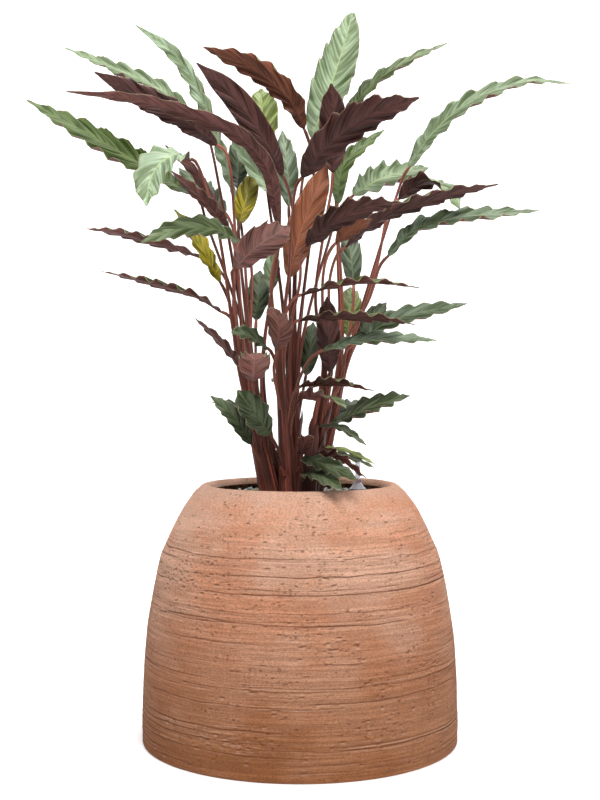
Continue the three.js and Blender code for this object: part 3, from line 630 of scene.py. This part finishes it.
def blade_material(name, midrib, fold_shade, fold_highlight, thread, edge, rib_depth, sheen):
    """A velvety blade face: oblique folds, furrows and ribs, a line along the midrib and thin edges.

    The first four colours are tones that the leaf's own colour is multiplied by: the midrib's, painted shade in
    the fold valleys, a painted highlight on the fold crests, and the furrow and rib lines, painted shade on the
    green face and a painted highlight on the underside.
    """
    skin = Surface(name, Roughness=0.45, Specular_IOR_Level=0.25, Sheen_Weight=0.1, Sheen_Roughness=0.35,
                   Sheen_Tint=sheen)
    place = skin.node("SeparateColor", {0: skin.layer("blade")}).outputs
    tint, strength = skin.layer("tint"), skin.layer("tint", 3)
    across = skin.math("ABSOLUTE", skin.math("SUBTRACT", place[0], 0.5))
    rib, furrow = (skin.math("ABSOLUTE", skin.math("SINE", skin.times(place[1], math.pi / spacing)))
                   for spacing in (RIB_SPACING, FURROW_SPACING))
    streaks = skin.node("CombineXYZ", {0: across, 1: place[1], 2: place[2]}).outputs[0]
    folds = skin.noise(streaks, (1.2, 0.085, 40.0), 2.0, 0.6)
    fine = skin.noise(streaks, (3.0, 1.1, 40.0), 2.0)
    velvet = skin.noise(skin.place(), 2400.0, 2.0)
    fold_shade, fold_highlight, thread = (skin.toned(tint, tone) for tone in (fold_shade, fold_highlight, thread))
    # Painted shade in the fold valleys and a painted highlight on the crests
    colour = skin.mix(skin.ramp(folds, 0.6, 0.4, 0.0, 0.85), fold_highlight, fold_shade)
    # Furrow and rib lines: painted shade on the green face, painted highlight on the underside
    colour = skin.mix(skin.times(skin.ramp(furrow, 0.45, 0.05), 0.5), colour, thread)
    colour = skin.mix(skin.times(skin.ramp(rib, 0.4, 0.0), 0.15), colour, thread)
    # Fine streaks of painted shade
    colour = skin.mix(skin.times(skin.ramp(fine, 0.5, 0.34), 0.15), colour, fold_shade)
    colour = skin.mix(strength, tint, colour)
    colour = skin.mix(skin.ramp(across, 0.026, 0.008, 0.0, 0.7), colour, skin.toned(tint, midrib))
    skin.paint(skin.mix(skin.times(skin.ramp(across, 0.475, 0.497), EDGE_SHARE), colour, edge))
    skin.bump(skin.math("MULTIPLY_ADD", velvet, 0.2, skin.times(rib, rib_depth)), 0.0008, 0.8)
    return skin.material


def stalk_material():
    """Velvety stalks with fine streaks along them, the light streaks partly painted highlight, in lighter and
    darker stretches that are partly painted light and shade.
    """
    skin = Surface("velvet_stalk", Roughness=0.5, Specular_IOR_Level=0.25, Sheen_Weight=0.12,
                   Sheen_Roughness=0.4, Sheen_Tint=rgba(214, 150, 120))
    place, tint = skin.layer("blade"), skin.layer("tint")
    streak = skin.noise(place, (20.0, 0.006, 50.0), 3.0, 0.6)
    patch = skin.noise(place, (1.4, 0.012, 50.0), 2.0)
    # Light streaks: partly the stalks' own streaks, partly painted highlights
    light = skin.toned(tint, (3.6, 3.2, 3.1, 1))
    dark = skin.toned(tint, (0.62, 0.56, 0.54, 1))
    colour = skin.mix(skin.ramp(streak, 0.44, 0.68), dark, light)
    # Broad stretches lighter and darker, partly painted light and shade between the stalks
    shade = skin.mix(skin.ramp(patch, 0.36, 0.64), (0.55, 0.5, 0.48, 1), (1.7, 1.6, 1.55, 1))
    skin.paint(skin.toned(skin.mix(0.3, colour, tint), shade))
    skin.bump(streak, 0.0008, 0.7)
    return skin.material


def plastic_material(name, colour, **plugs):
    skin = Surface(name, colour, **plugs)
    skin.bump(skin.noise(skin.place(), 700.0, 2.0), 0.0001, 0.3)
    return skin.material


clay = clay_material()
leaf_skins = [
    blade_material("leaf_top", midrib=(1.4, 1.45, 0.8, 1), fold_shade=(0.28, 0.31, 0.14, 1),
                   fold_highlight=(1.34, 1.3, 1.38, 1), thread=(0.2, 0.24, 0.08, 1), edge=rgba(180, 166, 124),
                   rib_depth=0.2, sheen=rgba(205, 225, 190)),
    blade_material("leaf_under", midrib=(1.7, 1.5, 1.4, 1), fold_shade=(0.45, 0.38, 0.34, 1),
                   fold_highlight=(1.3, 1.2, 1.15, 1), thread=(2.0, 1.8, 1.7, 1), edge=rgba(150, 112, 98),
                   rib_depth=-0.3, sheen=rgba(200, 140, 120)),
]


# Planter: grooves and pits of the hand-smoothed clay are cut into its outer wall
POT_SIDES = 480
POT_ROWS = 401
INNER_SIDES = 96
BELLY_STEPS = 400
GROOVES = 300
PITS = 2400
PIT_CLUSTERS = 40
MEAN_RADIUS = 190
SHORTEST_STEP = 0.05


def lattice(around, upward, columns, rows, seed):
    """Smooth random levels of -1 to 1 that join up round the planter."""
    table = np.random.default_rng(seed).uniform(-1, 1, (rows + 2, columns))
    column, row = around * columns, upward * rows
    left, low = np.floor(column).astype(int), np.floor(row).astype(int)
    u, v = smooth(0, 1, column - left), smooth(0, 1, row - low)
    left, right = left % columns, (left + 1) % columns
    return ((table[low, left] * (1 - u) + table[low, right] * u) * (1 - v)
            + (table[low + 1, left] * (1 - u) + table[low + 1, right] * u) * v)


def belly_outline(inset, count):
    """The belly's outline at even steps, moved inwards."""
    ways = hermite([(r, z, 0) for r, z in BELLY], uneven=False)
    points, forward = at_shares(ways, np.linspace(0, 1, count))
    return np.stack([points[:, 0] - forward[:, 1] * inset, points[:, 1] + forward[:, 0] * inset], axis=-1)


def arc(centre, radius, start, end, count):
    turn = np.linspace(start, end, count)
    return np.stack([centre[0] + radius * np.cos(turn), centre[1] + radius * np.sin(turn)], axis=-1)


def turned_from(middle, shares):
    """How far shares of a turn are from a middle, -0.5 to 0.5."""
    return (shares - middle + 0.5) % 1 - 0.5


def cut(away, ridge, ridge_at):
    """The section of a groove or pit: a hollow with a low ridge above it."""
    return ridge * np.exp(-(away + ridge_at) ** 2) - np.exp(-away ** 2)


foot_edge = arc((FOOT_RADIUS - FOOT_EASE, FOOT_EASE), FOOT_EASE, -math.pi / 2, 0, 4)
lip = arc(LIP_CENTRE, LIP_RADIUS, 0.2 * math.pi, math.pi, 14)
outer = np.concatenate([foot_edge, belly_outline(0, BELLY_STEPS), lip])
outer = outer[np.concatenate([[True], np.linalg.norm(np.diff(outer, axis=0), axis=1) > SHORTEST_STEP])]
flat = np.column_stack([outer, np.zeros(len(outer))])
wall_line, wall_slope = at_shares(flat, np.linspace(0, 1, POT_ROWS))

around, upward = np.meshgrid(np.arange(POT_SIDES) / POT_SIDES, np.linspace(0, 1, POT_ROWS))
height = wall_line[:, 1:2] + 0 * around
grooved = smooth(2, 14, height) * smooth(310, 270, height)
relief = 0.35 * lattice(around, upward, 18, 14, 3) * smooth(2, 30, height)
relief += grooved * (0.08 * lattice(around, upward, 16, 150, 1)
                     + 0.08 * lattice(around, upward, 110, 160, 2))
rng = np.random.default_rng(11)
for _ in range(GROOVES):
    level = 6 + 280 * rng.uniform(0, 1) ** 1.2
    depth = 0.14 + 0.9 * rng.uniform(0, 1) ** 3
    width = rng.uniform(0.55, 0.8)
    middle, span, slant = rng.uniform(0, 1), rng.uniform(0.03, 0.3), rng.uniform(-4, 4)
    off = turned_from(middle, around)
    waver = 1.1 * lattice(around, upward * 0, 40, 1, rng.integers(1000))
    shown = smooth(span, span * 0.6, np.abs(off)) * grooved
    relief += shown * depth * cut((height - level - slant * off - waver) / width, 0.3, 1.6)
clusters = [(rng.uniform(0, 1), rng.uniform(30, 310)) for _ in range(PIT_CLUSTERS)]
for k in range(PITS):
    if k % 3:
        middle, level = clusters[k % PIT_CLUSTERS]
        middle, level = middle + rng.normal(0, 0.022), level + rng.normal(0, 9)
    else:
        middle, level = rng.uniform(0, 1), rng.uniform(8, 318)
    wide, tall, depth = rng.uniform(1.6, 3.2), rng.uniform(0.7, 1.2), 0.3 + 1.2 * rng.uniform(0, 1) ** 2
    off = turned_from(middle, around[0]) * TAU * MEAN_RADIUS / wide
    rise = (height[:, 0] - level) / tall
    columns, rows = np.flatnonzero(np.abs(off) < 2.5), np.flatnonzero(np.abs(rise) < 3)
    if len(columns) and len(rows):
        here = np.ix_(rows, columns)
        relief[here] += depth * np.exp(-off[columns] ** 2) * cut(rise[rows][:, None], 0.35, 1.5)
normal = np.stack([wall_slope[:, 1], -wall_slope[:, 0]], axis=-1)
radius = wall_line[:, :1] + normal[:, :1] * relief
level = wall_line[:, 1:2] + normal[:, 1:] * relief
turn = around * TAU
pot_points = np.stack([radius * np.cos(turn), radius * np.sin(turn), level], axis=-1).reshape(-1, 3)
# The relief less the mean of the rows about it: the clay paints shade where it is low and a highlight where it
# is high
nearby = sum(np.roll(relief, shift, axis=0) for shift in range(-5, 6)) / 11
hollow = np.clip(0.5 + (relief - nearby) * 0.7, 0, 1)
hollow_layer = point_layer(hollow, hollow, hollow)
half_rows = POT_ROWS // 2 + 1
for name, first, nodes in (("planter_wall_low", 0, ["pot"]), ("planter_wall_high", half_rows - 1, [])):
    part = slice(first * POT_SIDES, (first + half_rows) * POT_SIDES)
    piece(name, pot_points[part], grid_faces(half_rows, POT_SIDES, wrap=True), [clay], "clay", nodes,
          layers={"relief": hollow_layer[part]})
inner_line = belly_outline(WALL, 60)
inner_level = inner_line[:, 1]
inner_line = inner_line[(inner_level > FLOOR_THICKNESS + WALL) & (inner_level < LIP_CENTRE[1] - LIP_RADIUS)]
inside = [(LIP_CENTRE[0] - LIP_RADIUS, LIP_CENTRE[1]), *inner_line[::-1],
          (FOOT_RADIUS - WALL, FLOOR_THICKNESS), (FOOT_RADIUS / 2, FLOOR_THICKNESS)]
underside = [(FOOT_RADIUS - FOOT_EASE, 0), (FOOT_RADIUS / 2, 0)]
for name, outline, material in (("planter_inside", inside, inner_clay_material()),
                                ("planter_underside", underside, clay)):
    points, faces = turned(outline, INNER_SIDES, caps=(False, True))
    piece(name, points, faces, [material], "clay")


# Granules: a dark bed that stays from the CAD, and loose rounded stones on it in four colours
GRANULE_STEP = 4.3
GRANULE_SIZES = (1.75, 2.6)
BED_EDGE = 113
KINDS = [  # name, share and two colours
    ("white", 0.42, (232, 230, 222), (206, 202, 190)),
    ("blue", 0.2, (160, 194, 200), (200, 220, 222)),
    ("beige", 0.24, (218, 200, 172), (196, 172, 142)),
    ("brown", 0.14, (128, 92, 66), (96, 70, 52)),
]


def heap(x, y):
    """The height of the bed's low heaps, level where the gauge's collar rests."""
    away = np.hypot(x - GAUGE_AT[0], y - GAUGE_AT[1])
    fade = smooth(COLLAR_RADIUS + 8, COLLAR_RADIUS + 24, away)
    return HEAP_HEIGHT * fade * np.sin(0.31 * x + 1.3 * np.cos(0.13 * y)) * np.cos(0.27 * y + 0.11 * x)


def ball():
    """A small round body of 80 faces, about the origin."""
    golden = (1 + 5 ** 0.5) / 2
    points = [(-1, golden, 0), (1, golden, 0), (-1, -golden, 0), (1, -golden, 0),
              (0, -1, golden), (0, 1, golden), (0, -1, -golden), (0, 1, -golden),
              (golden, 0, -1), (golden, 0, 1), (-golden, 0, -1), (-golden, 0, 1)]
    faces = [(0, 11, 5), (0, 5, 1), (0, 1, 7), (0, 7, 10), (0, 10, 11), (1, 5, 9), (5, 11, 4), (11, 10, 2),
             (10, 7, 6), (7, 1, 8), (3, 9, 4), (3, 4, 2), (3, 2, 6), (3, 6, 8), (3, 8, 9), (4, 9, 5),
             (2, 4, 11), (6, 2, 10), (8, 6, 7), (9, 8, 1)]
    points = [unit(point) for point in points]
    halves, out = {}, []

    def half(a, b):
        key = min(a, b), max(a, b)
        if key not in halves:
            halves[key] = len(points)
            points.append(unit(points[a] + points[b]))
        return halves[key]

    for a, b, c in faces:
        d, e, f = half(a, b), half(b, c), half(c, a)
        out += [(a, d, f), (b, e, d), (c, f, e), (d, e, f)]
    return np.array(points), out


rng = np.random.default_rng(5)
round_points, round_faces = ball()
granules = [Parts() for _ in KINDS]
steps = range(-int(BED_EDGE / GRANULE_STEP) - 2, int(BED_EDGE / GRANULE_STEP) + 3)
for i in steps:
    for j in steps:
        x = (i + 0.5 * (j % 2)) * GRANULE_STEP + rng.normal(0, 0.7)
        y = j * GRANULE_STEP * 0.9 + rng.normal(0, 0.7)
        size = rng.uniform(*GRANULE_SIZES)
        kind = rng.choice(len(KINDS), p=[share for _, share, _, _ in KINDS])
        turn, shape = rng.normal(size=(3, 3)), rng.uniform(0.78, 1.12, 3)
        lumps, tone, raised = rng.uniform(0.86, 1.1, len(round_points)), rng.uniform(0.9, 1.2), rng.random()
        off_gauge = math.hypot(x - GAUGE_AT[0], y - GAUGE_AT[1])
        if math.hypot(x, y) > BED_EDGE - size or off_gauge < COLLAR_RADIUS + 1:
            continue
        turn = np.linalg.qr(turn)[0]
        centre = (x, y, BED_LEVEL + heap(x, y) + size * (0.3 + 1.1 * (raised > 0.9)))
        stone = (round_points * lumps[:, None] * shape * size) @ turn.T + centre
        granules[kind].add(stone, round_faces, tint=(tone, tone, tone, 1))
for (name, _, first, second), stones in zip(KINDS, granules):
    stones.make(f"granules_{name}", [granule_material(f"granule_{name}", first, second)], "granules")
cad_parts["granule_bed"].material_slots[0].material = bed_material()


# Water-level gauge: a grey shaft with a cone collar, a clear tube with a yellow mark, and a red float
GAUGE_SIDES = 40
NECK_FOOT = COLLAR_TOP - 5
CONE_FOOT = COLLAR_TOP - 12.5
RIM_FOOT = COLLAR_TOP - 15.5
SOCKET_RADIUS = TUBE_RADIUS + GAP
SKIN = 0.02
MARK_LEVELS = (359.6, 363.8)

grey_plastic = plastic_material("grey_plastic", rgba(222, 222, 228), Roughness=0.25, Transmission_Weight=0.35,
                                IOR=1.46)
dark_plastic = plastic_material("dark_plastic", rgba(74, 72, 82), Roughness=0.35)
clear_plastic = plastic_material("clear_plastic", rgba(226, 226, 232), Roughness=0.2, Transmission_Weight=0.85,
                                 IOR=1.2)
# The red float glows a little: painted light standing in for light through the clear tube
red_plastic = plastic_material("red_plastic", rgba(214, 44, 30), Roughness=0.35,
                               Emission_Color=rgba(230, 30, 20), Emission_Strength=0.5)
yellow_mark = plastic_material("yellow_mark", rgba(236, 200, 40), Roughness=0.5)

foot = SHAFT_FOOT + 2
seat = TUBE_SEAT - GAP
start = foot + GAP
collar = [(COLLAR_RADIUS, BED_LEVEL + GAP), (COLLAR_RADIUS, CONE_FOOT), (10.4, CONE_FOOT + 0.7),
          (8.2, CONE_FOOT + 2.7), (6.4, CONE_FOOT + 5.5), (5.2, NECK_FOOT), (SOCKET_RADIUS, NECK_FOOT),
          (SOCKET_RADIUS, seat), (TUBE_BORE, seat), (TUBE_BORE, seat - 3), (CHAMBER_RADIUS, seat - 9),
          (CHAMBER_RADIUS, foot), (2, foot), (2, SHAFT_FOOT), (SHAFT_RADIUS, SHAFT_FOOT),
          (SHAFT_RADIUS, BED_LEVEL + GAP), (COLLAR_RADIUS, BED_LEVEL + GAP)]
neck = [(SOCKET_RADIUS, NECK_FOOT), (5.2, NECK_FOOT), (4.9, COLLAR_TOP - 2), (4.4, COLLAR_TOP - 0.4),
        (SOCKET_RADIUS, COLLAR_TOP - 0.4), (SOCKET_RADIUS, NECK_FOOT)]
tube = [(TUBE_BORE, TUBE_SEAT), (TUBE_RADIUS, TUBE_SEAT), (TUBE_RADIUS, TUBE_TOP - 3), (3.1, TUBE_TOP - 1.4),
        (2.2, TUBE_TOP - 0.4), (0.4, TUBE_TOP), (0.3, TUBE_TOP - 1.4), (1.6, TUBE_TOP - 2.2),
        (TUBE_BORE, TUBE_TOP - 4), (TUBE_BORE, TUBE_SEAT)]
indicator = [(0.4, start), (4.6, start), (FLOAT_RADIUS, start + 1), (FLOAT_RADIUS, start + FLOAT_LENGTH - 1),
             (4.4, start + FLOAT_LENGTH), (ROD_RADIUS, start + FLOAT_LENGTH + 3), (ROD_RADIUS, ROD_TOP - 1.2),
             (1.0, ROD_TOP - 0.4), (0.4, ROD_TOP)]


def band(radius, thick, levels, ease=0.2):
    """A thin ring round a part, from one level to another."""
    low, high = levels
    return [(radius + SKIN, low), (radius + thick, low + ease),
            (radius + thick, high - ease), (radius + SKIN, high)]


for name, outline, material, slot, node_name, body, caps in [
    ("gauge_collar", collar, grey_plastic, "grey_plastic", "gauge_shaft", POT_BODY, False),
    ("gauge_sight_tube", tube, clear_plastic, "clear_plastic", "gauge_tube", POT_BODY, False),
    ("gauge_indicator", indicator, red_plastic, "red_plastic", "gauge_float", FLOAT_BODY, True),
    ("gauge_neck", neck, clear_plastic, "grey_plastic", None, POT_BODY, False),
    ("gauge_rim", band(COLLAR_RADIUS, 0.4, (RIM_FOOT, CONE_FOOT)), dark_plastic, "grey_plastic", None, POT_BODY,
     False),
    ("gauge_mark", band(TUBE_RADIUS, 0.2, MARK_LEVELS), yellow_mark, "clear_plastic", None, POT_BODY, False),
]:
    points, faces = turned(outline, GAUGE_SIDES, GAUGE_AT, (caps, caps))
    piece(name, points, faces, [material], slot, [node_name] if node_name else (), body)


# Leaves
ROW_STEP = 1.7
ROW_COUNTS = (56, 170)
ACROSS = np.array([0.15, 0.36, 0.58, 0.8, 1.0])
RIB_HALF_WIDTH = 1.2
RIB_DEPTH = 1.5
PUCKER_DEPTH = 1.4
VEIN_LEAN = 2.6
BROAD = 48
TIP_POINTS = {True: 0.1, False: 0.55}  # how much sharper the tip is, for broad and for other blades
THICK = 0.9
THIN = 0.4
# Share of grey-green painted on the tip as sheen
TIP_GREY = 0.25
SOFT_GREENS = ("pale", "sage", "moss")
SOFT_SHARE = 0.8
SMOOTH_REDS = ("copper", "rust")
SMOOTH_SHARE = 0.3


def shell(front, back):
    """A thin closed body between two grids of points, and which of its faces look back."""
    rows, columns = front.shape[:2]
    count = rows * columns
    faces = grid_faces(rows, columns)
    ids = np.arange(count).reshape(rows, columns)
    rim = np.concatenate([ids[0, :-1], ids[:-1, -1], ids[-1, :0:-1], ids[:0:-1, 0]])
    after = np.roll(rim, -1)
    edges = np.stack([after, rim, rim + count, after + count], axis=-1)
    every = [*faces.tolist(), *(faces[:, [0, 3, 2, 1]] + count).tolist(), *edges.tolist()]
    which = [0] * len(faces) + [1] * len(faces) + [0] * len(edges)
    return np.concatenate([front.reshape(-1, 3), back.reshape(-1, 3)]), every, which


def blade(leaf, number):
    """A leaf's blade: waved edges, puckers between its ribs, and a midrib that stands out below."""
    rng = np.random.default_rng(100 + number)
    chain = midrib_of(leaf)
    length = lengths(chain)[-1]
    rows = int(np.clip(length / ROW_STEP, *ROW_COUNTS))
    along = np.linspace(0, 1, rows)
    swell = leaf.width / 2 * np.maximum(np.sin(math.pi * along ** SWELL_EARLY), 0) ** SWELL_FULL
    swell *= 1 - TIP_POINTS[leaf.width >= BROAD] * smooth(0.78, 1, along)
    half = swell + BASE_HALF_WIDTH + (TIP_HALF_WIDTH - BASE_HALF_WIDTH) * along
    rib = np.clip(RIB_HALF_WIDTH / half, 0.04, 0.5)[:, None]
    out = rib + (1 - rib) * ACROSS[None, :]
    side = np.concatenate([-out[:, ::-1], -rib, 0 * rib, rib, out], axis=1)
    away = np.abs(side)

    # Rows of points run obliquely, as the veins do, less so near the base and on wide or short blades
    lean = VEIN_LEAN * min(1, 38 / leaf.width) ** 2 * smooth(0, 0.7, along)
    lean = lean * min(1, length / (5 * leaf.width)) * swell / length
    share = along[:, None] - lean[:, None] * (1 - away ** 1.35)
    centre, forward = (grid.reshape(*side.shape, 3) for grid in at_shares(chain, share.ravel()))
    green = np.array(leaf.face, float)
    green_at_tip = np.array(leaf.face_at_tip or leaf.face, float)
    normal = green + (green_at_tip - green) * share[..., None]
    normal -= forward * (normal * forward).sum(axis=-1, keepdims=True)
    normal /= np.linalg.norm(normal, axis=-1, keepdims=True)
    across = np.cross(forward, normal)

    # Each edge has its own waves, and each side its own rhythm of veins
    turn = math.pi * along * (2 * leaf.waves + 1)
    wander = [rng.uniform(0, TAU, 3) for _ in range(2)]
    waves = [-np.cos(turn + 0.35 * np.sin(0.31 * turn + a)) * (1 + 0.25 * np.sin(0.43 * turn + b))
             + 0.16 * np.sin(2 * turn + c) for a, b, c in wander]
    wave = np.where(side < 0, -waves[0][:, None], waves[1][:, None])
    vein = along * length + 2.2 * np.sin(along * length / 17 + wander[0][1])
    vein = vein[:, None] + 1.2 * np.sin(vein / 7 + wander[1][1])[:, None]
    vein = vein + FURROW_SPACING * np.where(side < 0, *rng.uniform(0.5, 1.2, 2))
    furrow = vein / FURROW_SPACING
    deep = rng.uniform(0.3, 1.5, int(length / FURROW_SPACING) + 5)[np.floor(furrow + 0.5).astype(int)]
    pucker = 1 - deep * (1 - np.abs(np.sin(math.pi * furrow)) ** 0.8)
    lift = swell[:, None] * (FOLD_SHARE * away ** 1.2 + WAVE_SHARE * away ** 1.25 * wave)
    lift += PUCKER_DEPTH * (pucker - 0.4) * np.minimum(1.7, swell / 11)[:, None] * away ** 0.6 * (away > rib)
    reach = LEAN_SHARE * swell[:, None] * away ** 1.4
    middle = centre + across * (side * half[:, None])[..., None] + forward * reach[..., None]
    thick = THICK + (THIN - THICK) * away
    spine = (side == 0) * (1 - along[:, None])
    upper = middle + normal * (lift + thick / 2 - 0.3 * spine)[..., None]
    lower = middle + normal * (lift - thick / 2 - RIB_DEPTH * spine ** 1.1)[..., None]
    points, faces, which = shell(upper, lower)

    # Both faces are darker towards the base and lighter towards the tip, where the green face also turns
    # greyer: a painted sheen towards the tip
    marks = point_layer(side * 0.5 + 0.5, vein, rng.random() + 0.25 * np.sign(side))
    tone = rng.uniform(0.9, 1.1) * (0.7 + 0.38 * along + 0.08 * np.sin(along * 7 + wander[0][0]))
    tip = TIP_GREY * smooth(0.4, 1, along)[:, None]
    greens = levels(*GREENS[leaf.top]) * (1 - tip) + levels(*GREENS["sage"]) * tip
    tints = [row_layer(colour * tone[:, None], strength, side.shape[1])
             for colour, strength in (
                 (greens, SOFT_SHARE if leaf.top in SOFT_GREENS else 1),
                 (levels(*REDS[leaf.under]), SMOOTH_SHARE if leaf.under in SMOOTH_REDS else 1))]
    return points, faces, which, np.concatenate(tints), np.concatenate([marks, marks])


# Stalks: each runs up out of the granules, sheathes the ones inside it and thins towards its blade
FOOT_RING = 7.5
FOOT_DEPTH = 3
ROOT_STEPS = 12
STALK_SIDES = 10
STALK_ROW = 7.0
STALK_ROW_COUNTS = (20, 70)
STALK_TIP = 1.75
SHEATH_SWELL = 3.3
NECK_SWELL = 0.55
LOW_STALK = (68, 36, 29)
HIGH_STALK = (84, 50, 41)
# Shoots whose stalks are painted lighter, as a painted highlight
HIGHLIGHTED_SHOOTS = {"right_back": 1.8, "right_front": 1.4, "left_front": 1.5}
BRACTS = 4
BRACT_GRID = (18, 9)
BRACT_THICK = 0.8


def tube_along(centre, forward, radii, sides):
    """Points and faces of a closed tube, whose section turns as little as it can."""
    upright = np.cross(forward[0], (0.3, 1.0, 0.1))
    turn = np.arange(sides) * TAU / sides
    rings = []
    for at, ahead, radius in zip(centre, forward, radii):
        upright = unit(upright - ahead * (upright @ ahead))
        aside = np.cross(ahead, upright)
        rings.append(at + radius[:, None] * (np.cos(turn)[:, None] * upright + np.sin(turn)[:, None] * aside))
    faces = grid_faces(len(centre), sides, wrap=True).tolist()
    last = (len(centre) - 1) * sides
    return np.concatenate(rings), [*faces, list(range(sides))[::-1], list(range(last, last + sides))]


def stalk(leaf, number):
    """A leaf's stalk: flattened low down where it sheathes others, with a small swelling under the blade."""
    rng = np.random.default_rng(300 + number)
    chain = stalk_of(leaf)
    length = lengths(chain)[-1]
    rows = int(np.clip(length / STALK_ROW, *STALK_ROW_COUNTS))
    along = np.linspace(0, 1, rows)
    centre, forward = at_shares(chain, along)
    turn = np.arange(STALK_SIDES) * TAU / STALK_SIDES
    sheath = 1 - smooth(0.12, 0.62, along)
    neck = np.exp(-((length * (1 - along) - 11) / 8) ** 2)
    small = min(1, length / 160)
    radius = STALK_TIP + SHEATH_SWELL * small * sheath + NECK_SWELL * neck + 0.9 * small * (1 - along)
    section = 1 + 0.16 * sheath[:, None] * np.cos(2 * turn + rng.uniform(0, TAU)) + 0.04 * np.cos(5 * turn)
    points, faces = tube_along(centre, forward, radius[:, None] * section, STALK_SIDES)
    # Stalks of some shoots are lighter: a painted highlight
    pale = HIGHLIGHTED_SHOOTS.get(leaf.shoot, 1)
    low = levels(*LOW_STALK) * rng.uniform(0.75, 1.2) * pale
    high = levels(*HIGH_STALK) * rng.uniform(0.8, 1.25) * pale
    share = smooth(0.1, 0.75, along)[:, None]
    tint = row_layer(low * (1 - share) + high * share, 1, STALK_SIDES)
    marks = point_layer(np.cos(turn) * 0.5 + 0.5, (along * length)[:, None], rng.random() + 0.1 * np.sin(turn))
    return points, faces, tint, marks


def bract(foot, lean, number):
    """A short pointed sheath leaf that wraps part of a shoot's foot."""
    rng = np.random.default_rng(500 + number)
    tall, facing = rng.uniform(45, 130), rng.uniform(0, TAU)
    rows, columns = BRACT_GRID
    along = np.linspace(0, 1, rows)[:, None]
    wrap = np.linspace(-1, 1, columns)[None, :]
    spread = math.radians(78) * (1 - along ** 2.2) + 0.03
    turn = facing + wrap * spread
    radius = 13.5 - 3.5 * along + 5 * smooth(0.7, 1, along) + 0.5 * np.cos(9 * turn)
    axis = np.array([*foot, BED_LEVEL - FOOT_DEPTH]) + unit(lean) * (along * tall)[..., None]
    outward = np.stack([np.cos(turn), np.sin(turn), 0 * turn], axis=-1)
    front = axis + outward * radius[..., None]
    points, faces, _ = shell(front, front - outward * BRACT_THICK)
    tint = (*levels(*LOW_STALK) * rng.uniform(0.8, 1.5), 1)
    marks = point_layer(wrap * 0.5 + 0.5, along * tall, rng.random())
    return points, faces, tint, np.concatenate([marks, marks])


stalk_skin = stalk_material()
bundles = {name: Parts() for name in SHOOTS}
low_blades = {name: Parts() for name in SHOOTS}
for number, leaf in enumerate(LEAVES):
    points, faces, tint, marks = stalk(leaf, number)
    bundles[leaf.shoot].add(points, faces, tint=tint, blade=marks)
    points, faces, which, tint, marks = blade(leaf, number)
    if leaf.fused:
        low_blades[leaf.shoot].add(points, faces, which, tint=tint, blade=marks)
    else:
        piece(f"blade_{leaf.name}", points, faces, leaf_skins, "leaf", [f"leaf_{leaf.name}"],
              which=which, layers={"tint": tint, "blade": marks})
for number, (name, (foot, lean)) in enumerate(SHOOTS.items()):
    for k in range(BRACTS):
        points, faces, tint, marks = bract(foot, lean, 10 * number + k)
        bundles[name].add(points, faces, tint=tint, blade=marks)
    bundles[name].make(f"stalks_{name}", [stalk_skin], "stalk", stands_for=[f"shoot_{name}"])
    if low_blades[name].count:
        low_blades[name].make(f"low_blades_{name}", leaf_skins, "leaf")


# Studio: a pale floor that curves up behind, a white surround and soft lights
FLOOR_HALF_WIDTH = 6.0
FLOOR_FRONT = -5.0
FLOOR_BACK = 2.6
CURVE_RADIUS = 1.4
BACKDROP_TOP = 5.0
SURROUND = 0.17
LIGHTS = {  # place, what it points at, size and power
    "key": ((0.1, -2.0, 2.6), (0, 0, 0.4), 1.7, 98),
    "fill": ((1.9, -2.4, 1.0), (0, 0, 0.4), 1.4, 10),
    "top": ((0.4, 0.5, 2.8), (0, 0, 0.6), 0.9, 36),
}


def floor_material():
    """A pale floor that glows softly towards the back, as a lit paper roll does."""
    skin = Surface("floor", (0.86, 0.86, 0.86, 1), Roughness=0.9, Specular_IOR_Level=0.1,
                   Emission_Color=(1, 1, 1, 1))
    back = skin.node("SeparateXYZ", {0: skin.place()}).outputs[1]
    skin.tree.links.new(skin.ramp(back, 0.2, 2.4, 0.3, 0.8), skin.shader.inputs["Emission Strength"])
    return skin.material


def stage():
    curve = arc((FLOOR_BACK, CURVE_RADIUS), CURVE_RADIUS, -math.pi / 2, 0, 16)
    line = [(FLOOR_FRONT, 0), *curve, (FLOOR_BACK + CURVE_RADIUS, BACKDROP_TOP)]
    points = [(x, y, z) for y, z in line for x in (-FLOOR_HALF_WIDTH, FLOOR_HALF_WIDTH)]
    faces = [(2 * k, 2 * k + 1, 2 * k + 3, 2 * k + 2) for k in range(len(line) - 1)]
    mesh = bpy.data.meshes.new("floor")
    mesh.from_pydata([tuple(map(float, point)) for point in points], [], faces)
    mesh.shade_smooth()
    mesh.materials.append(floor_material())
    made = bpy.data.objects.new("floor", mesh)
    bpy.context.scene.collection.objects.link(made)


def soft_light(name, place, aim, size, power):
    data = bpy.data.lights.new(name, "AREA")
    data.shape = "DISK"
    data.size = size
    data.energy = power
    made = bpy.data.objects.new(name, data)
    made.location = place
    way = np.array(aim, float) - np.array(place, float)
    flat = math.hypot(way[0], way[1])
    made.rotation_euler = (math.atan2(flat, -way[2]), 0, math.atan2(-way[0], way[1]))
    bpy.context.scene.collection.objects.link(made)


stage()
for name, light in LIGHTS.items():
    soft_light(name, *light)
world = bpy.data.worlds.new("surround")
world.use_nodes = True
world.node_tree.nodes["Background"].inputs["Color"].default_value = (1, 1, 1, 1)
world.node_tree.nodes["Background"].inputs["Strength"].default_value = SURROUND
bpy.context.scene.world = world
bpy.context.scene.view_settings.view_transform = "Standard"
